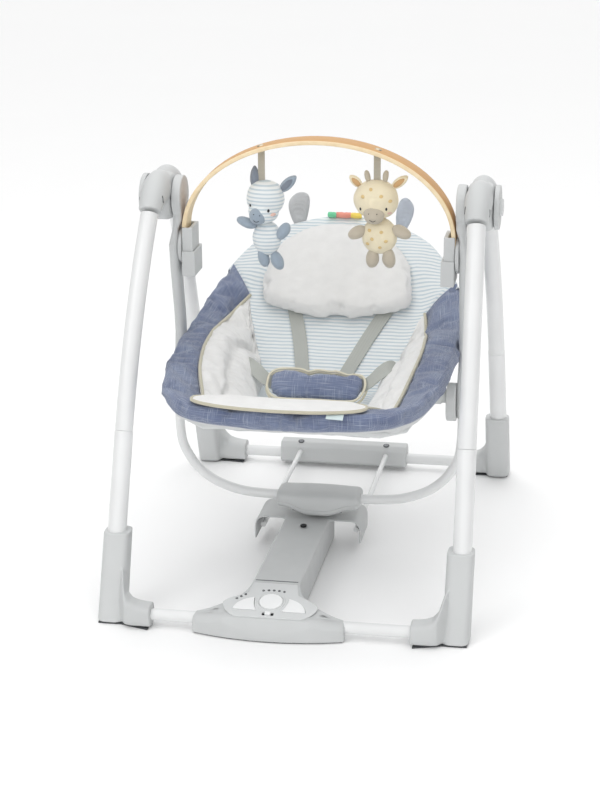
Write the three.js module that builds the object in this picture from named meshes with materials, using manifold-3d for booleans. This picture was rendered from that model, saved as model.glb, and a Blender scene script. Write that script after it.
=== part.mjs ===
// Folding portable baby swing, in millimetres. +X is the swing's left-to-right as seen from the front,
// +Y runs from the front feet to the rear feet, +Z is up. The origin is on the floor, at the middle of
// the footprint. The front and rear legs are hinged together at two hubs, and a braced drive base holds
// the feet apart. The seat hangs from the hubs on two arms and is driven by a magnet at its lowest point.
import * as THREE from 'three';
import { mergeVertices } from 'three/addons/utils/BufferGeometryUtils.js';
import Module from 'manifold-3d';

const wasm = await Module();
wasm.setup();

// ---------------------------------------------------------------- driving dimensions
const GAP = 0.4;                  // clearance between pieces that touch
const HUB_Z = 597;                // height of the hub axis, which is at y = 0
const FLOOR_TUBE_Y = 380;         // distance of each floor tube from the hub's plane
const FLOOR_TUBE_Z = 20;
const FLOOR_TUBE_R = 9.5;
const FLOOR_TUBE_HALF = 238;
const TUBE_WALL = 1.5;
const LEG_R = 14.8;               // lower leg tube
const UPPER_LEG_R = 14.3;         // upper leg tube, a size smaller than the lower one
const LEG_TOP_X = 262.7;
const LEG_SEAM_X = 271.5;
const LEG_FOOT_X = 273;

// Each leg's centre line as [distance from the hub's plane, height]
const FRONT_LEG = { side: -1, floor: [360, 0], socket: [314, 122], seam: [255, 275], hub: [77, 596] };
const REAR_LEG = { side: 1, floor: [388.6, 0], socket: [328, 122], seam: [262, 275], hub: [77, 596] };

const FOOT_INNER_X = 251;
const FOOT_OUTER_X = 293;
const FOOT_TOE_X = 203;
const FOOT_HALF_DEPTH = 23;
const FOOT_TOE_HEIGHT = 44;
const FOOT_SHOULDER_R = 50;       // hollow curve from the toe up to the socket
const PAD_HEIGHT = 3;

const HUB_INNER_X = 240.6;
const HUB_OUTER_X = 284.6;
const HUB_HALF_SPAN = 101;
const HUB_TOP_Z = 636;
const HUB_BOTTOM_Z = 573;
const HUB_KNUCKLE_R = 20;
const FOLD_WEDGE = THREE.MathUtils.degToRad(18);  // free angle under the hub, on each side

const ARM_INNER_X = 231;
const ARM_OUTER_X = 246;
const ARM_HEAD_R = 35;
const ARM_HEAD_X = [224.4, 239.9];

const LOOP_R = 8;
const WEIGHT_HALF = 70.5;

const BASE_X = -17;               // the drive base sits this far off the centre of the floor tube
const BASE_FRONT_Y = -414;
const PANEL_FRONT = [-404, 36];   // [y, z] of the control panel's front edge
const PANEL_BACK = [-313, 60];
const SPINE_HALF = 38;
const SPINE_BACK = [24, 54];
const DECK_Y = [-32, 56];
const DECK_HALF = 91;
const DECK_Z = 54;
const WALL = 3;
const ROD_SPACING = 80;
const ROD_R = 4.5;
const ROD_Z = 30;
const ROD_FRONT_Y = -10;
const BRACKET_HALF = 118;

const RECLINE_AXIS = [-15, 280];  // [y, z]
const BAR_Y = -5;
const BAR_PIVOT_Z = 517;
const BAR_HALF = 221;
const BAR_SPRING_Z = 545;
const BAR_RISE = 152;
const BAR_THICKNESS = 7;
const BAR_WIDTH = 42;
const TOY_X = 94.5;

// ---------------------------------------------------------------- materials
const finish = (color, roughness, metalness = 0) =>
  new THREE.MeshStandardMaterial({ color, roughness, metalness });
const greyPlastic = finish(0xc2c5c6, 0.5);
const palePlastic = finish(0xd5d7d7, 0.5);
const whitePlastic = finish(0xf4f5f5, 0.4);
const darkPlastic = finish(0x55595c, 0.6);
const whitePaint = finish(0xf2f2f2, 0.35);
const rubber = finish(0x4b4d4f, 0.85);
const boardGreen = finish(0x2f6b4a, 0.6);
const copper = finish(0xb87340, 0.4, 0.9);
const steel = finish(0x8d9093, 0.4, 0.9);
const beech = finish(0xd9ae7f, 0.55);
const denim = finish(0x6d7690, 0.9);
const whiteFabric = finish(0xe9ebec, 0.9);
const blueToy = finish(0xa9b8c9, 0.9);
const creamToy = finish(0xf0e0ba, 0.9);

// ---------------------------------------------------------------- scene graph
const swing = new THREE.Group();

function add(name, geometry, material, parent = swing) {
  const mesh = new THREE.Mesh(geometry, material);
  mesh.name = name;
  parent.add(mesh);
  return mesh;
}

function addPair(name, geometry, material) {
  add(`${name}_right`, geometry, material);
  add(`${name}_left`, mirrored(geometry), material);
}

// ---------------------------------------------------------------- solids
const vec = (x, y, z) => new THREE.Vector3(x, y, z);

function bare(geometry) {
  const copy = geometry.index ? geometry.toNonIndexed() : geometry.clone();
  copy.deleteAttribute('normal');
  copy.deleteAttribute('uv');
  return mergeVertices(copy, 1e-4);
}

function signedVolume(geometry) {
  const p = geometry.attributes.position;
  const index = geometry.index.array;
  const [a, b, c] = [vec(), vec(), vec()];
  let volume = 0;
  for (let i = 0; i < index.length; i += 3) {
    a.fromBufferAttribute(p, index[i]);
    b.fromBufferAttribute(p, index[i + 1]);
    c.fromBufferAttribute(p, index[i + 2]);
    volume += a.dot(b.cross(c)) / 6;
  }
  return volume;
}

// A merged copy whose faces point out
function outward(geometry) {
  const merged = bare(geometry);
  if (signedVolume(merged) < 0) {
    const index = merged.index.array;
    for (let i = 0; i < index.length; i += 3) [index[i], index[i + 1]] = [index[i + 1], index[i]];
  }
  merged.computeVertexNormals();
  return merged;
}

function mirrored(geometry) {
  return outward(geometry.clone().scale(-1, 1, 1));
}

function toSolid(geometry) {
  const merged = outward(geometry);
  return new wasm.Manifold(new wasm.Mesh({
    numProp: 3,
    vertProperties: new Float32Array(merged.attributes.position.array),
    triVerts: new Uint32Array(merged.index.array),
  }));
}

function toGeometry(solid) {
  const mesh = solid.getMesh();
  const geometry = new THREE.BufferGeometry();
  geometry.setAttribute('position', new THREE.BufferAttribute(mesh.vertProperties, 3));
  geometry.setIndex(new THREE.BufferAttribute(mesh.triVerts, 1));
  return outward(geometry);
}

const cut = (from, ...tools) =>
  toGeometry(tools.reduce((solid, tool) => solid.subtract(toSolid(tool)), toSolid(from)));
const join = (first, ...others) =>
  toGeometry(others.reduce((solid, other) => solid.add(toSolid(other)), toSolid(first)));
const common = (a, b) => toGeometry(toSolid(a).intersect(toSolid(b)));

function box([x0, x1], [y0, y1], [z0, z1]) {
  return new THREE.BoxGeometry(x1 - x0, y1 - y0, z1 - z0)
    .translate((x0 + x1) / 2, (y0 + y1) / 2, (z0 + z1) / 2);
}

function extrude(shape, depth) {
  return new THREE.ExtrudeGeometry(shape, { depth, bevelEnabled: false, curveSegments: 8 });
}

const outline = (points) => new THREE.Shape(points.map(([a, b]) => new THREE.Vector2(a, b)));

// Outline drawn in (y, z), filled from x0 to x1
function alongX(shape, x0, x1) {
  const turn = new THREE.Matrix4().set(0, 0, 1, x0, 1, 0, 0, 0, 0, 1, 0, 0, 0, 0, 0, 1);
  return extrude(shape, x1 - x0).applyMatrix4(turn);
}

// Outline drawn in (x, z), filled from y0 to y1
function alongY(shape, y0, y1) {
  return extrude(shape, y1 - y0).rotateX(Math.PI / 2).translate(0, y1, 0);
}

// Outline drawn in (x, y), filled from z0 to z1
function alongZ(shape, z0, z1) {
  return extrude(shape, z1 - z0).translate(0, 0, z0);
}

function placeBetween(geometry, from, to) {
  const middle = from.clone().add(to).multiplyScalar(0.5);
  const turn = new THREE.Quaternion().setFromUnitVectors(vec(0, 1, 0), to.clone().sub(from).normalize());
  return geometry.applyQuaternion(turn).translate(middle.x, middle.y, middle.z);
}

function rod(from, to, radius, sides = 20) {
  return placeBetween(new THREE.CylinderGeometry(radius, radius, from.distanceTo(to), sides), from, to);
}

function pipe(from, to, outer, inner, sides = 16) {
  const half = from.distanceTo(to) / 2;
  const profile = [[inner, -half], [outer, -half], [outer, half], [inner, half], [inner, -half]]
    .map(([r, h]) => new THREE.Vector2(r, h));
  return placeBetween(new THREE.LatheGeometry(profile, sides), from, to);
}

const discX = (x0, x1, y, z, radius, sides = 24) => rod(vec(x0, y, z), vec(x1, y, z), radius, sides);

// Closed solid through a row of rings with equal point counts, capped at both ends
function skin(rings) {
  const count = rings[0].length;
  const points = rings.flat();
  const index = [];
  for (let r = 0; r + 1 < rings.length; r += 1) {
    for (let i = 0; i < count; i += 1) {
      const [a, b] = [r * count + i, r * count + ((i + 1) % count)];
      index.push(a, b, b + count, a, b + count, a + count);
    }
  }
  for (const ring of [0, rings.length - 1]) {
    const centre = rings[ring].reduce((sum, p) => sum.add(p), vec()).divideScalar(count);
    const c = points.push(centre) - 1;
    for (let i = 0; i < count; i += 1) {
      const [a, b] = [ring * count + i, ring * count + ((i + 1) % count)];
      index.push(...(ring === 0 ? [c, b, a] : [c, a, b]));
    }
  }
  return outward(new THREE.BufferGeometry().setFromPoints(points).setIndex(index));
}

// Closed ring-shaped solid through a loop of rings
function hoop(rings) {
  const count = rings[0].length;
  const index = [];
  rings.forEach((ring, r) => {
    const next = (r + 1) % rings.length;
    for (let i = 0; i < count; i += 1) {
      const j = (i + 1) % count;
      const [a, b] = [r * count + i, r * count + j];
      const [c, d] = [next * count + i, next * count + j];
      index.push(a, b, d, a, d, c);
    }
  });
  return outward(new THREE.BufferGeometry().setFromPoints(rings.flat()).setIndex(index));
}

function ellipsoid(x, y, z, rx, ry, rz, tilt = 0) {
  return new THREE.SphereGeometry(1, 9, 6).rotateX(Math.PI / 2).scale(rx, ry, rz).rotateY(tilt)
    .translate(x, y, z);
}

const mix = THREE.MathUtils.lerp;

// ---------------------------------------------------------------- legs
const legPoint = (leg, x, [distance, z]) => vec(x, leg.side * distance, z);

function legSeamAndTop(leg) {
  const socket = legPoint(leg, LEG_FOOT_X, leg.socket);
  const seam = legPoint(leg, LEG_SEAM_X, leg.seam);
  const top = legPoint(leg, LEG_TOP_X, leg.hub);
  return { socket, seam, top };
}

// The upper tube leaves the seam in line with the lower tube and bows towards the hub
function upperLegCurve(leg, startOffset) {
  const { socket, seam, top } = legSeamAndTop(leg);
  const rise = seam.clone().sub(socket).normalize();
  const start = seam.clone().addScaledVector(rise, startOffset);
  const bend = start.clone().addScaledVector(rise, top.distanceTo(seam) * 0.5);
  return new THREE.QuadraticBezierCurve3(start, bend, top);
}

function upperLeg(leg) {
  const section = new THREE.Shape().absarc(0, 0, UPPER_LEG_R, 0, Math.PI * 2);
  section.holes.push(new THREE.Path().absarc(0, 0, UPPER_LEG_R - TUBE_WALL, 0, Math.PI * 2, true));
  return new THREE.ExtrudeGeometry(section, {
    steps: 7, curveSegments: 6, extrudePath: upperLegCurve(leg, GAP),
  });
}

function lowerLeg(leg) {
  const { socket, seam } = legSeamAndTop(leg);
  const down = socket.clone().sub(seam).normalize();
  return pipe(seam, socket.clone().addScaledVector(down, 60), LEG_R, LEG_R - TUBE_WALL);
}

// Cross-section of a foot at one x: the toe wraps the floor tube, the heel leans with the leg
function footSection(leg, x, frontHeight, backHeight) {
  const heel = THREE.MathUtils.smoothstep(x, FOOT_TOE_X, FOOT_INNER_X);
  const lean = (leg.socket[0] - leg.floor[0]) / leg.socket[1];
  const edge = (outwards, z) => {
    const toe = FLOOR_TUBE_Y + outwards * (FOOT_HALF_DEPTH - 1);
    const heelEdge = leg.floor[0] + lean * z + outwards * (FOOT_HALF_DEPTH + 4 * (1 - z / leg.socket[1]));
    return leg.side * mix(toe, heelEdge, heel);
  };
  const steps = [0, 0.12, 0.5, 0.88, 1];
  const heights = steps.map((f) => mix(PAD_HEIGHT, frontHeight, f));
  const ring = heights.map((height) => vec(x, edge(1, height), height));
  return ring.concat(steps.toReversed().map((f) => {
    const z = mix(PAD_HEIGHT, backHeight, f);
    return vec(x, edge(-1, z), z);
  }));
}

function foot(leg) {
  const slant = FOOT_HALF_DEPTH * 0.37;
  const rings = [];
  for (let step = 0; step <= 6; step += 1) {
    const angle = (step / 6) * (Math.PI / 2);
    const x = FOOT_TOE_X + (FOOT_INNER_X - FOOT_TOE_X) * Math.sin(angle);
    const height = FOOT_TOE_HEIGHT + FOOT_SHOULDER_R * (1 - Math.cos(angle));
    rings.push(footSection(leg, x, height, height));
  }
  for (const x of [FOOT_INNER_X + 1, FOOT_OUTER_X]) {
    rings.push(footSection(leg, x, leg.socket[1] + slant, leg.socket[1] - slant));
  }
  const { socket, seam } = legSeamAndTop(leg);
  const down = socket.clone().sub(seam).normalize();
  const boreEnds = [-30, 61].map((depth) => socket.clone().addScaledVector(down, depth));
  const legBore = rod(...boreEnds, LEG_R + GAP);
  const tubeY = leg.side * FLOOR_TUBE_Y;
  const tubeBore = discX(FOOT_TOE_X - 5, FLOOR_TUBE_HALF + 1, tubeY, FLOOR_TUBE_Z, FLOOR_TUBE_R + GAP, 20);
  return cut(skin(rings), legBore, tubeBore);
}

function footPad(leg) {
  const at = (x, distance) => [x, leg.side * distance];
  const inset = 4;
  return alongZ(outline([
    at(FOOT_TOE_X + inset, FLOOR_TUBE_Y - 17), at(FOOT_TOE_X + inset, FLOOR_TUBE_Y + 17),
    at(FOOT_INNER_X, leg.floor[0] + 22), at(FOOT_OUTER_X - inset, leg.floor[0] + 22),
    at(FOOT_OUTER_X - inset, leg.floor[0] - 22), at(FOOT_INNER_X, leg.floor[0] - 22),
  ]), 0, PAD_HEIGHT - GAP);
}

function hubHalf(leg) {
  const dome = new THREE.Shape();
  dome.moveTo(0.25, HUB_BOTTOM_Z);
  for (let step = 0; step <= 12; step += 1) {
    const angle = (step / 12) * (Math.PI / 2);
    const height = (HUB_TOP_Z - HUB_BOTTOM_Z) * Math.sin(angle);
    dome.lineTo(Math.max(0.25, HUB_HALF_SPAN * Math.cos(angle)), HUB_BOTTOM_Z + height);
  }
  const shell = alongX(dome, HUB_INNER_X, HUB_OUTER_X);
  // the half's own knuckle keeps one side of the hinge, and the other half's knuckle has the rest
  const middle = (HUB_INNER_X + HUB_OUTER_X) / 2;
  const own = leg.side < 0 ? [HUB_INNER_X, middle - GAP / 2] : [middle + GAP / 2, HUB_OUTER_X];
  const other = leg.side < 0 ? [middle - GAP / 2, HUB_OUTER_X + 1] : [HUB_INNER_X - 1, middle + GAP / 2];
  const wedge = outline([[0, HUB_Z], [0, HUB_BOTTOM_Z - 5],
    [(HUB_Z - HUB_BOTTOM_Z + 5) * Math.tan(FOLD_WEDGE), HUB_BOTTOM_Z - 5]]);
  const halfShell = cut(shell, alongX(wedge, HUB_INNER_X - 1, HUB_OUTER_X + 1));
  const withKnuckle = join(halfShell, discX(own[0], own[1], 0, HUB_Z, HUB_KNUCKLE_R));
  const cleared = cut(withKnuckle, discX(other[0], other[1], 0, HUB_Z, HUB_KNUCKLE_R + GAP));
  const facing = leg.side < 0 ? outward(cleared.clone().scale(1, -1, 1)) : cleared;
  const curve = upperLegCurve(leg, 0);
  const end = curve.getPoint(1);
  const direction = curve.getTangent(1);
  const bore = rod(end.clone().addScaledVector(direction, -60), end.clone().addScaledVector(direction, GAP),
    UPPER_LEG_R + 2 * GAP);
  return cut(facing, bore);
}

for (const [prefix, leg] of [['front', FRONT_LEG], ['rear', REAR_LEG]]) {
  addPair(`${prefix}_foot`, foot(leg), greyPlastic);
  addPair(`${prefix}_foot_pad`, footPad(leg), rubber);
  addPair(`${prefix}_lower_leg`, lowerLeg(leg), whitePaint);
  addPair(`${prefix}_upper_leg`, upperLeg(leg), whitePaint);
  addPair(`${prefix}_hub_half`, hubHalf(leg), greyPlastic);
  const tubeY = leg.side * FLOOR_TUBE_Y;
  add(`${prefix}_floor_tube`, pipe(vec(-FLOOR_TUBE_HALF, tubeY, FLOOR_TUBE_Z),
    vec(FLOOR_TUBE_HALF, tubeY, FLOOR_TUBE_Z), FLOOR_TUBE_R, FLOOR_TUBE_R - TUBE_WALL), whitePaint);
}

const CAP_X = [HUB_OUTER_X + GAP, 293];
const RELEASE_R = 14;
const releaseBore = discX(280, 300, 0, HUB_Z, RELEASE_R + GAP);
addPair('hub_cap', cut(discX(...CAP_X, 0, HUB_Z, 36, 32), releaseBore), greyPlastic);
addPair('fold_button', discX(289.6, 298, 0, HUB_Z, RELEASE_R), palePlastic);

// ---------------------------------------------------------------- drive base
function basePlan(inset) {
  const nose = 119 - inset;
  const spine = SPINE_HALF - inset;
  const shape = new THREE.Shape();
  shape.moveTo(spine, SPINE_BACK[0] - inset);
  shape.lineTo(spine, -312);
  shape.quadraticCurveTo(spine + 5, -371 - inset * 0.5, nose, -377 - inset);
  shape.lineTo(nose, -396 + inset);
  shape.quadraticCurveTo(0, 2 * (BASE_FRONT_Y + inset) + 396 - inset, -nose, -396 + inset);
  shape.lineTo(-nose, -377 - inset);
  shape.quadraticCurveTo(-spine - 5, -371 - inset * 0.5, -spine, -312);
  shape.lineTo(-spine, SPINE_BACK[0] - inset);
  return shape;
}

function baseSide(drop, bottom) {
  return outline([[BASE_FRONT_Y - 1, bottom], [BASE_FRONT_Y + 2, 18 - drop],
    [PANEL_FRONT[0], PANEL_FRONT[1] - drop], [PANEL_BACK[0], PANEL_BACK[1] - drop],
    [SPINE_BACK[0] + 1, SPINE_BACK[1] - drop], [SPINE_BACK[0] + 1, bottom]]);
}

function deckArch(half, top, bottom) {
  const shoulder = 17 - (DECK_HALF - half);
  const shape = new THREE.Shape();
  shape.moveTo(-half, bottom);
  shape.lineTo(-half, top - shoulder);
  shape.absarc(-half + shoulder, top - shoulder, shoulder, Math.PI, Math.PI / 2, true);
  shape.lineTo(half - shoulder, top);
  shape.absarc(half - shoulder, top - shoulder, shoulder, Math.PI / 2, 0, true);
  shape.lineTo(half, bottom);
  return shape;
}

// Panel parts are drawn flat in (x, distance up the slope), then stood on the sloping top of the base
const panelSlope = Math.atan2(PANEL_BACK[1] - PANEL_FRONT[1], PANEL_BACK[0] - PANEL_FRONT[0]);
const toPanel = new THREE.Matrix4().makeRotationX(panelSlope).setPosition(BASE_X, ...PANEL_FRONT);

function panelOutline(grow) {
  const shape = new THREE.Shape();
  const mirror = (sign, point) => [sign * point[0], point[1]];
  const right = [[52 + grow, -grow + 3], [72 + grow, 14], [75 + grow, 33], [60 + grow, 50], [40 + grow, 62],
    [35 + grow, 88 + grow]];
  const [start, cornerA, wide, hollowA, hollowB, end] = right;
  shape.moveTo(...mirror(-1, start));
  shape.lineTo(...start);
  shape.quadraticCurveTo(...cornerA, ...wide);
  shape.bezierCurveTo(...[76 + grow, 42], ...hollowA, ...hollowB);
  shape.lineTo(...end);
  shape.lineTo(...mirror(-1, end));
  shape.lineTo(...mirror(-1, hollowB));
  shape.bezierCurveTo(...mirror(-1, hollowA), -76 - grow, 42, ...mirror(-1, wide));
  shape.quadraticCurveTo(...mirror(-1, cornerA), ...mirror(-1, start));
  return shape;
}

const ROUND_BUTTON = { up: 42, radius: 18.5 };

// Fan-shaped button beside the round one: hollow inner side, bowed outer side, flat base
function fanOutline(sign, shrink) {
  const [inner, outer, low, high] = [25 + shrink, 57 - shrink, 20 + shrink, 51 - shrink];
  const shape = new THREE.Shape();
  shape.moveTo(sign * (inner - 5), low);
  shape.lineTo(sign * outer, low);
  shape.quadraticCurveTo(sign * (outer - 3), high - 9, sign * (inner + 2), high);
  shape.quadraticCurveTo(sign * (inner + 3), (low + high) / 2, sign * (inner - 5), low);
  return shape;
}

const roundOutline = (radius) => new THREE.Shape().absarc(0, ROUND_BUTTON.up, radius, 0, Math.PI * 2);
const switchWindow = outline([[-9, 9], [9, 9], [9, 16], [-9, 16]]);
const switchOutline = outline([[-4.5, 9.5], [4.5, 9.5], [4.5, 15.5], [-4.5, 15.5]]);

const onPanel = (shape, low, high) => alongZ(shape, low, high).applyMatrix4(toPanel);
const buttonWindows = [roundOutline(ROUND_BUTTON.radius + GAP), fanOutline(1, -GAP), fanOutline(-1, -GAP)];
const windows = [...buttonWindows, switchWindow].map((shape) => onPanel(shape, -20, 20));

function baseHousing() {
  const shift = (geometry) => geometry.translate(BASE_X, 0, 0);
  const body = common(alongZ(basePlan(0), GAP, 80), alongX(baseSide(0, 0), -150, 150));
  const hollow = common(alongZ(basePlan(WALL), -5, 80), alongX(baseSide(WALL + 1, -5), -150, 150));
  const deck = alongY(deckArch(DECK_HALF, DECK_Z, 12), ...DECK_Y);
  const deckHollow = alongY(deckArch(DECK_HALF - WALL, DECK_Z - WALL, -5), DECK_Y[0] - 1, DECK_Y[1] + 1);
  const shell = join(cut(deck, deckHollow), cut(body, hollow));
  const tubeBore = discX(-140, 140, -FLOOR_TUBE_Y, FLOOR_TUBE_Z, FLOOR_TUBE_R + GAP, 20);
  const opened = cut(shift(shell), tubeBore, onPanel(panelOutline(GAP), -1.6, 20));
  return cut(opened, ...windows);
}

add('base_housing', baseHousing(), greyPlastic);

const DOOR = { x: [-26, 26], y: [-300, -170] };
const bottomPlate = common(alongZ(basePlan(WALL + GAP), 0, WALL),
  box([-150, 150], [BASE_FRONT_Y, -60], [-5, 20]));
const doorHole = box([DOOR.x[0] - GAP, DOOR.x[1] + GAP], [DOOR.y[0] - GAP, DOOR.y[1] + GAP], [-5, 20]);
add('base_bottom_cover', cut(bottomPlate, doorHole), darkPlastic).position.x = BASE_X;
add('battery_door', box(DOOR.x, DOOR.y, [0, WALL]), darkPlastic).position.x = BASE_X;
add('control_panel', cut(onPanel(panelOutline(0), -1.2, 0.4), ...windows), palePlastic);
add('circuit_board', onPanel(outline([[-30, 34], [30, 34], [30, 86], [-30, 86]]), -13, -11.4), boardGreen);
const coil = [[9, 0], [20, 0], [20, 22], [9, 22], [9, 0]].map(([r, h]) => new THREE.Vector2(r, h));
add('drive_coil', new THREE.LatheGeometry(coil, 24).rotateX(Math.PI / 2), copper)
  .position.set(BASE_X + 10, -2, 24);

const BUTTON_LAYER = [-3, 1.8];
add('power_button', onPanel(roundOutline(ROUND_BUTTON.radius), ...BUTTON_LAYER), whitePlastic);
add('speed_button', onPanel(fanOutline(-1, 0), ...BUTTON_LAYER), whitePlastic);
add('volume_button', onPanel(fanOutline(1, 0), ...BUTTON_LAYER), whitePlastic);
add('timer_switch', onPanel(switchOutline, -3, 2.6), whitePlastic);

// ---------------------------------------------------------------- brace between the base and the rear tube
function braceBracket() {
  const y = FLOOR_TUBE_Y;
  const shape = outline([[y - 22, 12], [y - 22, 38], [y - 14, 47], [y + 10, 47], [y + 20, 38], [y + 20, 9],
    [y + 12, 6], [y - 14, 6]]);
  const bore = discX(-200, 200, y, FLOOR_TUBE_Z, FLOOR_TUBE_R + GAP, 20);
  return cut(alongX(shape, BASE_X - BRACKET_HALF, BASE_X + BRACKET_HALF), bore);
}

add('brace_bracket', braceBracket(), greyPlastic);
for (const [side, sign] of [['right', 1], ['left', -1]]) {
  const x = BASE_X + sign * ROD_SPACING;
  const rodBack = FLOOR_TUBE_Y - 22 - GAP;
  add(`brace_rod_${side}`, rod(vec(x, ROD_FRONT_Y, ROD_Z), vec(x, rodBack, ROD_Z), ROD_R, 14),
    whitePaint);
}

// ---------------------------------------------------------------- swing arms, loop tube and weight
// Stations down an arm: [z, y of the centre, half depth, outward shift, thinning of the outer face]
const ARM_STATIONS = [[585, -2, 20, -6.4], [562, -7, 21, -6.4], [546, -12, 20, 0, 6], [522, -15, 18, 0],
  [480, -10, 16.5, 0], [440, -1, 16, 0], [400, 9, 16, 0], [365, 14, 16, 0], [340, 11, 17, 0],
  [315, -2, 19, 0], [290, -12, 20, 0], [262, -14, 18, 0], [242, -8, 13, 0]];

function armRing([z, y, half, shift, thinning = 0]) {
  const [x0, x1] = [ARM_INNER_X + shift, ARM_OUTER_X + shift - thinning];
  const bevel = 4;
  return [[x0 + bevel, -half], [x1 - bevel, -half], [x1, -half + bevel], [x1, half - bevel],
    [x1 - bevel, half], [x0 + bevel, half], [x0, half - bevel], [x0, -half + bevel]]
    .map(([x, dy]) => vec(x, y + dy, z));
}

const armHead = discX(...ARM_HEAD_X, 0, HUB_Z, ARM_HEAD_R);
addPair('swing_arm', join(skin(ARM_STATIONS.map(armRing)), armHead), greyPlastic);

const loopHalf = [
  [239.2, 241.6], [239.2, 205], [235, 171], [222, 144], [206, 124], [180, 105], [141, 91], [100, 86.5],
  [50, 86]];
const loopLeft = loopHalf.toReversed().map(([x, z]) => [-x, z]);
const loopPoints = [...loopHalf, ...loopLeft].map(([x, z]) => vec(x, -6, z));
const loopPath = new THREE.CatmullRomCurve3(loopPoints);

function loopTube(radius, wall) {
  const section = new THREE.Shape().absarc(0, 0, radius, 0, Math.PI * 2);
  if (wall) section.holes.push(new THREE.Path().absarc(0, 0, radius - wall, 0, Math.PI * 2, true));
  return new THREE.ExtrudeGeometry(section, { steps: 30, curveSegments: 4, extrudePath: loopPath });
}

add('loop_tube', loopTube(LOOP_R, TUBE_WALL), whitePaint);

// Lens-shaped weight housing: it bulges forwards and down in the middle
function weightSection(x, lowest, topDrop, inset = 0) {
  const bulge = Math.cos((Math.PI * x) / (2 * WEIGHT_HALF)) ** 2;
  const front = -24 - 22 * bulge + inset;
  const back = 28 - inset;
  const topFront = 101 - 14 * bulge - topDrop;
  const topBack = 106 - topDrop;
  const bottom = lowest(bulge, topFront);
  const bottomBack = lowest(bulge, topBack);
  return [[front + 4, bottom], [front, bottom + (topFront - bottom) * 0.3], [front, topFront - 1],
    [front + 3, topFront], [back - 3, topBack],
    [back, topBack - 2], [back, bottomBack + 1], [back - 3, bottomBack]].map(([y, z]) => vec(x, y, z));
}

function weightBody(lowest, topDrop = 0, grow = 0) {
  const rings = [];
  for (let step = -6; step <= 6; step += 1) {
    rings.push(weightSection((step / 6) * (WEIGHT_HALF + grow), lowest, topDrop, -grow));
  }
  return skin(rings);
}

const COVER_THICKNESS = 5;
const MAGNET = { x: [-42, 42], y: [-34, -16.5], z: [69, 80] };
const magnetPocket = box([MAGNET.x[0] - GAP, MAGNET.x[1] + GAP], [MAGNET.y[0] - GAP, MAGNET.y[1] + GAP],
  [MAGNET.z[0] - GAP, 120]);
const COVER_SEAM = 1;
const RAISE = 8;                  // the space for the cover reaches this far above it
const coverSpace = weightBody((bulge, top) => top - COVER_THICKNESS - COVER_SEAM - RAISE, -RAISE, 2);
const weightShell = weightBody((bulge) => 76 - 14 * bulge);
add('weight_housing', cut(weightShell, coverSpace, loopTube(LOOP_R + GAP), magnetPocket),
  greyPlastic);
const weightLid = weightBody((bulge, top) => top - COVER_THICKNESS);
add('weight_cover', cut(weightLid, loopTube(LOOP_R + GAP)), greyPlastic);
add('magnet', box(MAGNET.x, MAGNET.y, MAGNET.z), steel);

// Recline housing on the inside of each arm, with the seat's pivot in its middle
function stadium(y, zLow, zHigh, radius) {
  const shape = new THREE.Shape();
  shape.absarc(y, zHigh - radius, radius, 0, Math.PI);
  shape.absarc(y, zLow + radius, radius, Math.PI, 2 * Math.PI);
  return shape;
}

const reclineOutline = stadium(RECLINE_AXIS[0], 238, 302, 28);
addPair('recline_housing', alongX(reclineOutline, 214.6, ARM_INNER_X - GAP), greyPlastic);
addPair('bar_pivot', discX(224.4, ARM_INNER_X - GAP, BAR_Y, BAR_PIVOT_Z, 30), greyPlastic);

// ---------------------------------------------------------------- toy bar
function barRing(x, z, nx, nz) {
  const half = BAR_WIDTH / 2;
  return [[0, -half], [0, half], [BAR_THICKNESS, half], [BAR_THICKNESS, -half]]
    .map(([depth, y]) => vec(x - nx * depth, BAR_Y + y, z - nz * depth));
}

function toyBarBand() {
  const rings = [barRing(BAR_HALF, BAR_SPRING_Z - 34, 1, 0)];
  for (let step = 0; step <= 30; step += 1) {
    const angle = (step / 30) * Math.PI;
    const normal = new THREE.Vector2(Math.cos(angle) * BAR_RISE, Math.sin(angle) * BAR_HALF).normalize();
    const [x, z] = [BAR_HALF * Math.cos(angle), BAR_SPRING_Z + BAR_RISE * Math.sin(angle)];
    rings.push(barRing(x, z, normal.x, normal.y));
  }
  rings.push(barRing(-BAR_HALF, BAR_SPRING_Z - 34, -1, 0));
  return skin(rings);
}

const SOCKET = { x: [206, 223.9], z: [482, 551], half: 25 };
const CRADLE = { x: [202, 223.9], z: [470, 512], half: 29 };
const barEnd = box([BAR_HALF - BAR_THICKNESS - 3 * GAP, BAR_HALF + GAP],
  [BAR_Y - BAR_WIDTH / 2 - GAP, BAR_Y + BAR_WIDTH / 2 + GAP], [BAR_SPRING_Z - 34 - GAP, 600]);
const socketBlock = box(SOCKET.x, [BAR_Y - SOCKET.half, BAR_Y + SOCKET.half], SOCKET.z);
const socketHole = box([SOCKET.x[0] - GAP, SOCKET.x[1] + 1],
  [BAR_Y - SOCKET.half - GAP, BAR_Y + SOCKET.half + GAP], [SOCKET.z[0] - GAP, 600]);
const cradleBlock = box(CRADLE.x, [BAR_Y - CRADLE.half, BAR_Y + CRADLE.half], CRADLE.z);
add('toy_bar_band', toyBarBand(), beech);
addPair('bar_socket', cut(socketBlock, barEnd), greyPlastic);
addPair('bar_cradle', cut(cradleBlock, socketHole), palePlastic);

// ---------------------------------------------------------------- toys
function plushToy(x, height, parts) {
  const ribbon = box([x - 6, x + 6], [BAR_Y - 0.9, BAR_Y + 0.9], [height.head, height.strap]);
  const bodies = parts.map(([dx, dy, z, rx, ry, rz, tilt]) =>
    ellipsoid(x + dx, BAR_Y + dy, z, rx, ry, rz, tilt));
  return join(ribbon, ...bodies);
}

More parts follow.
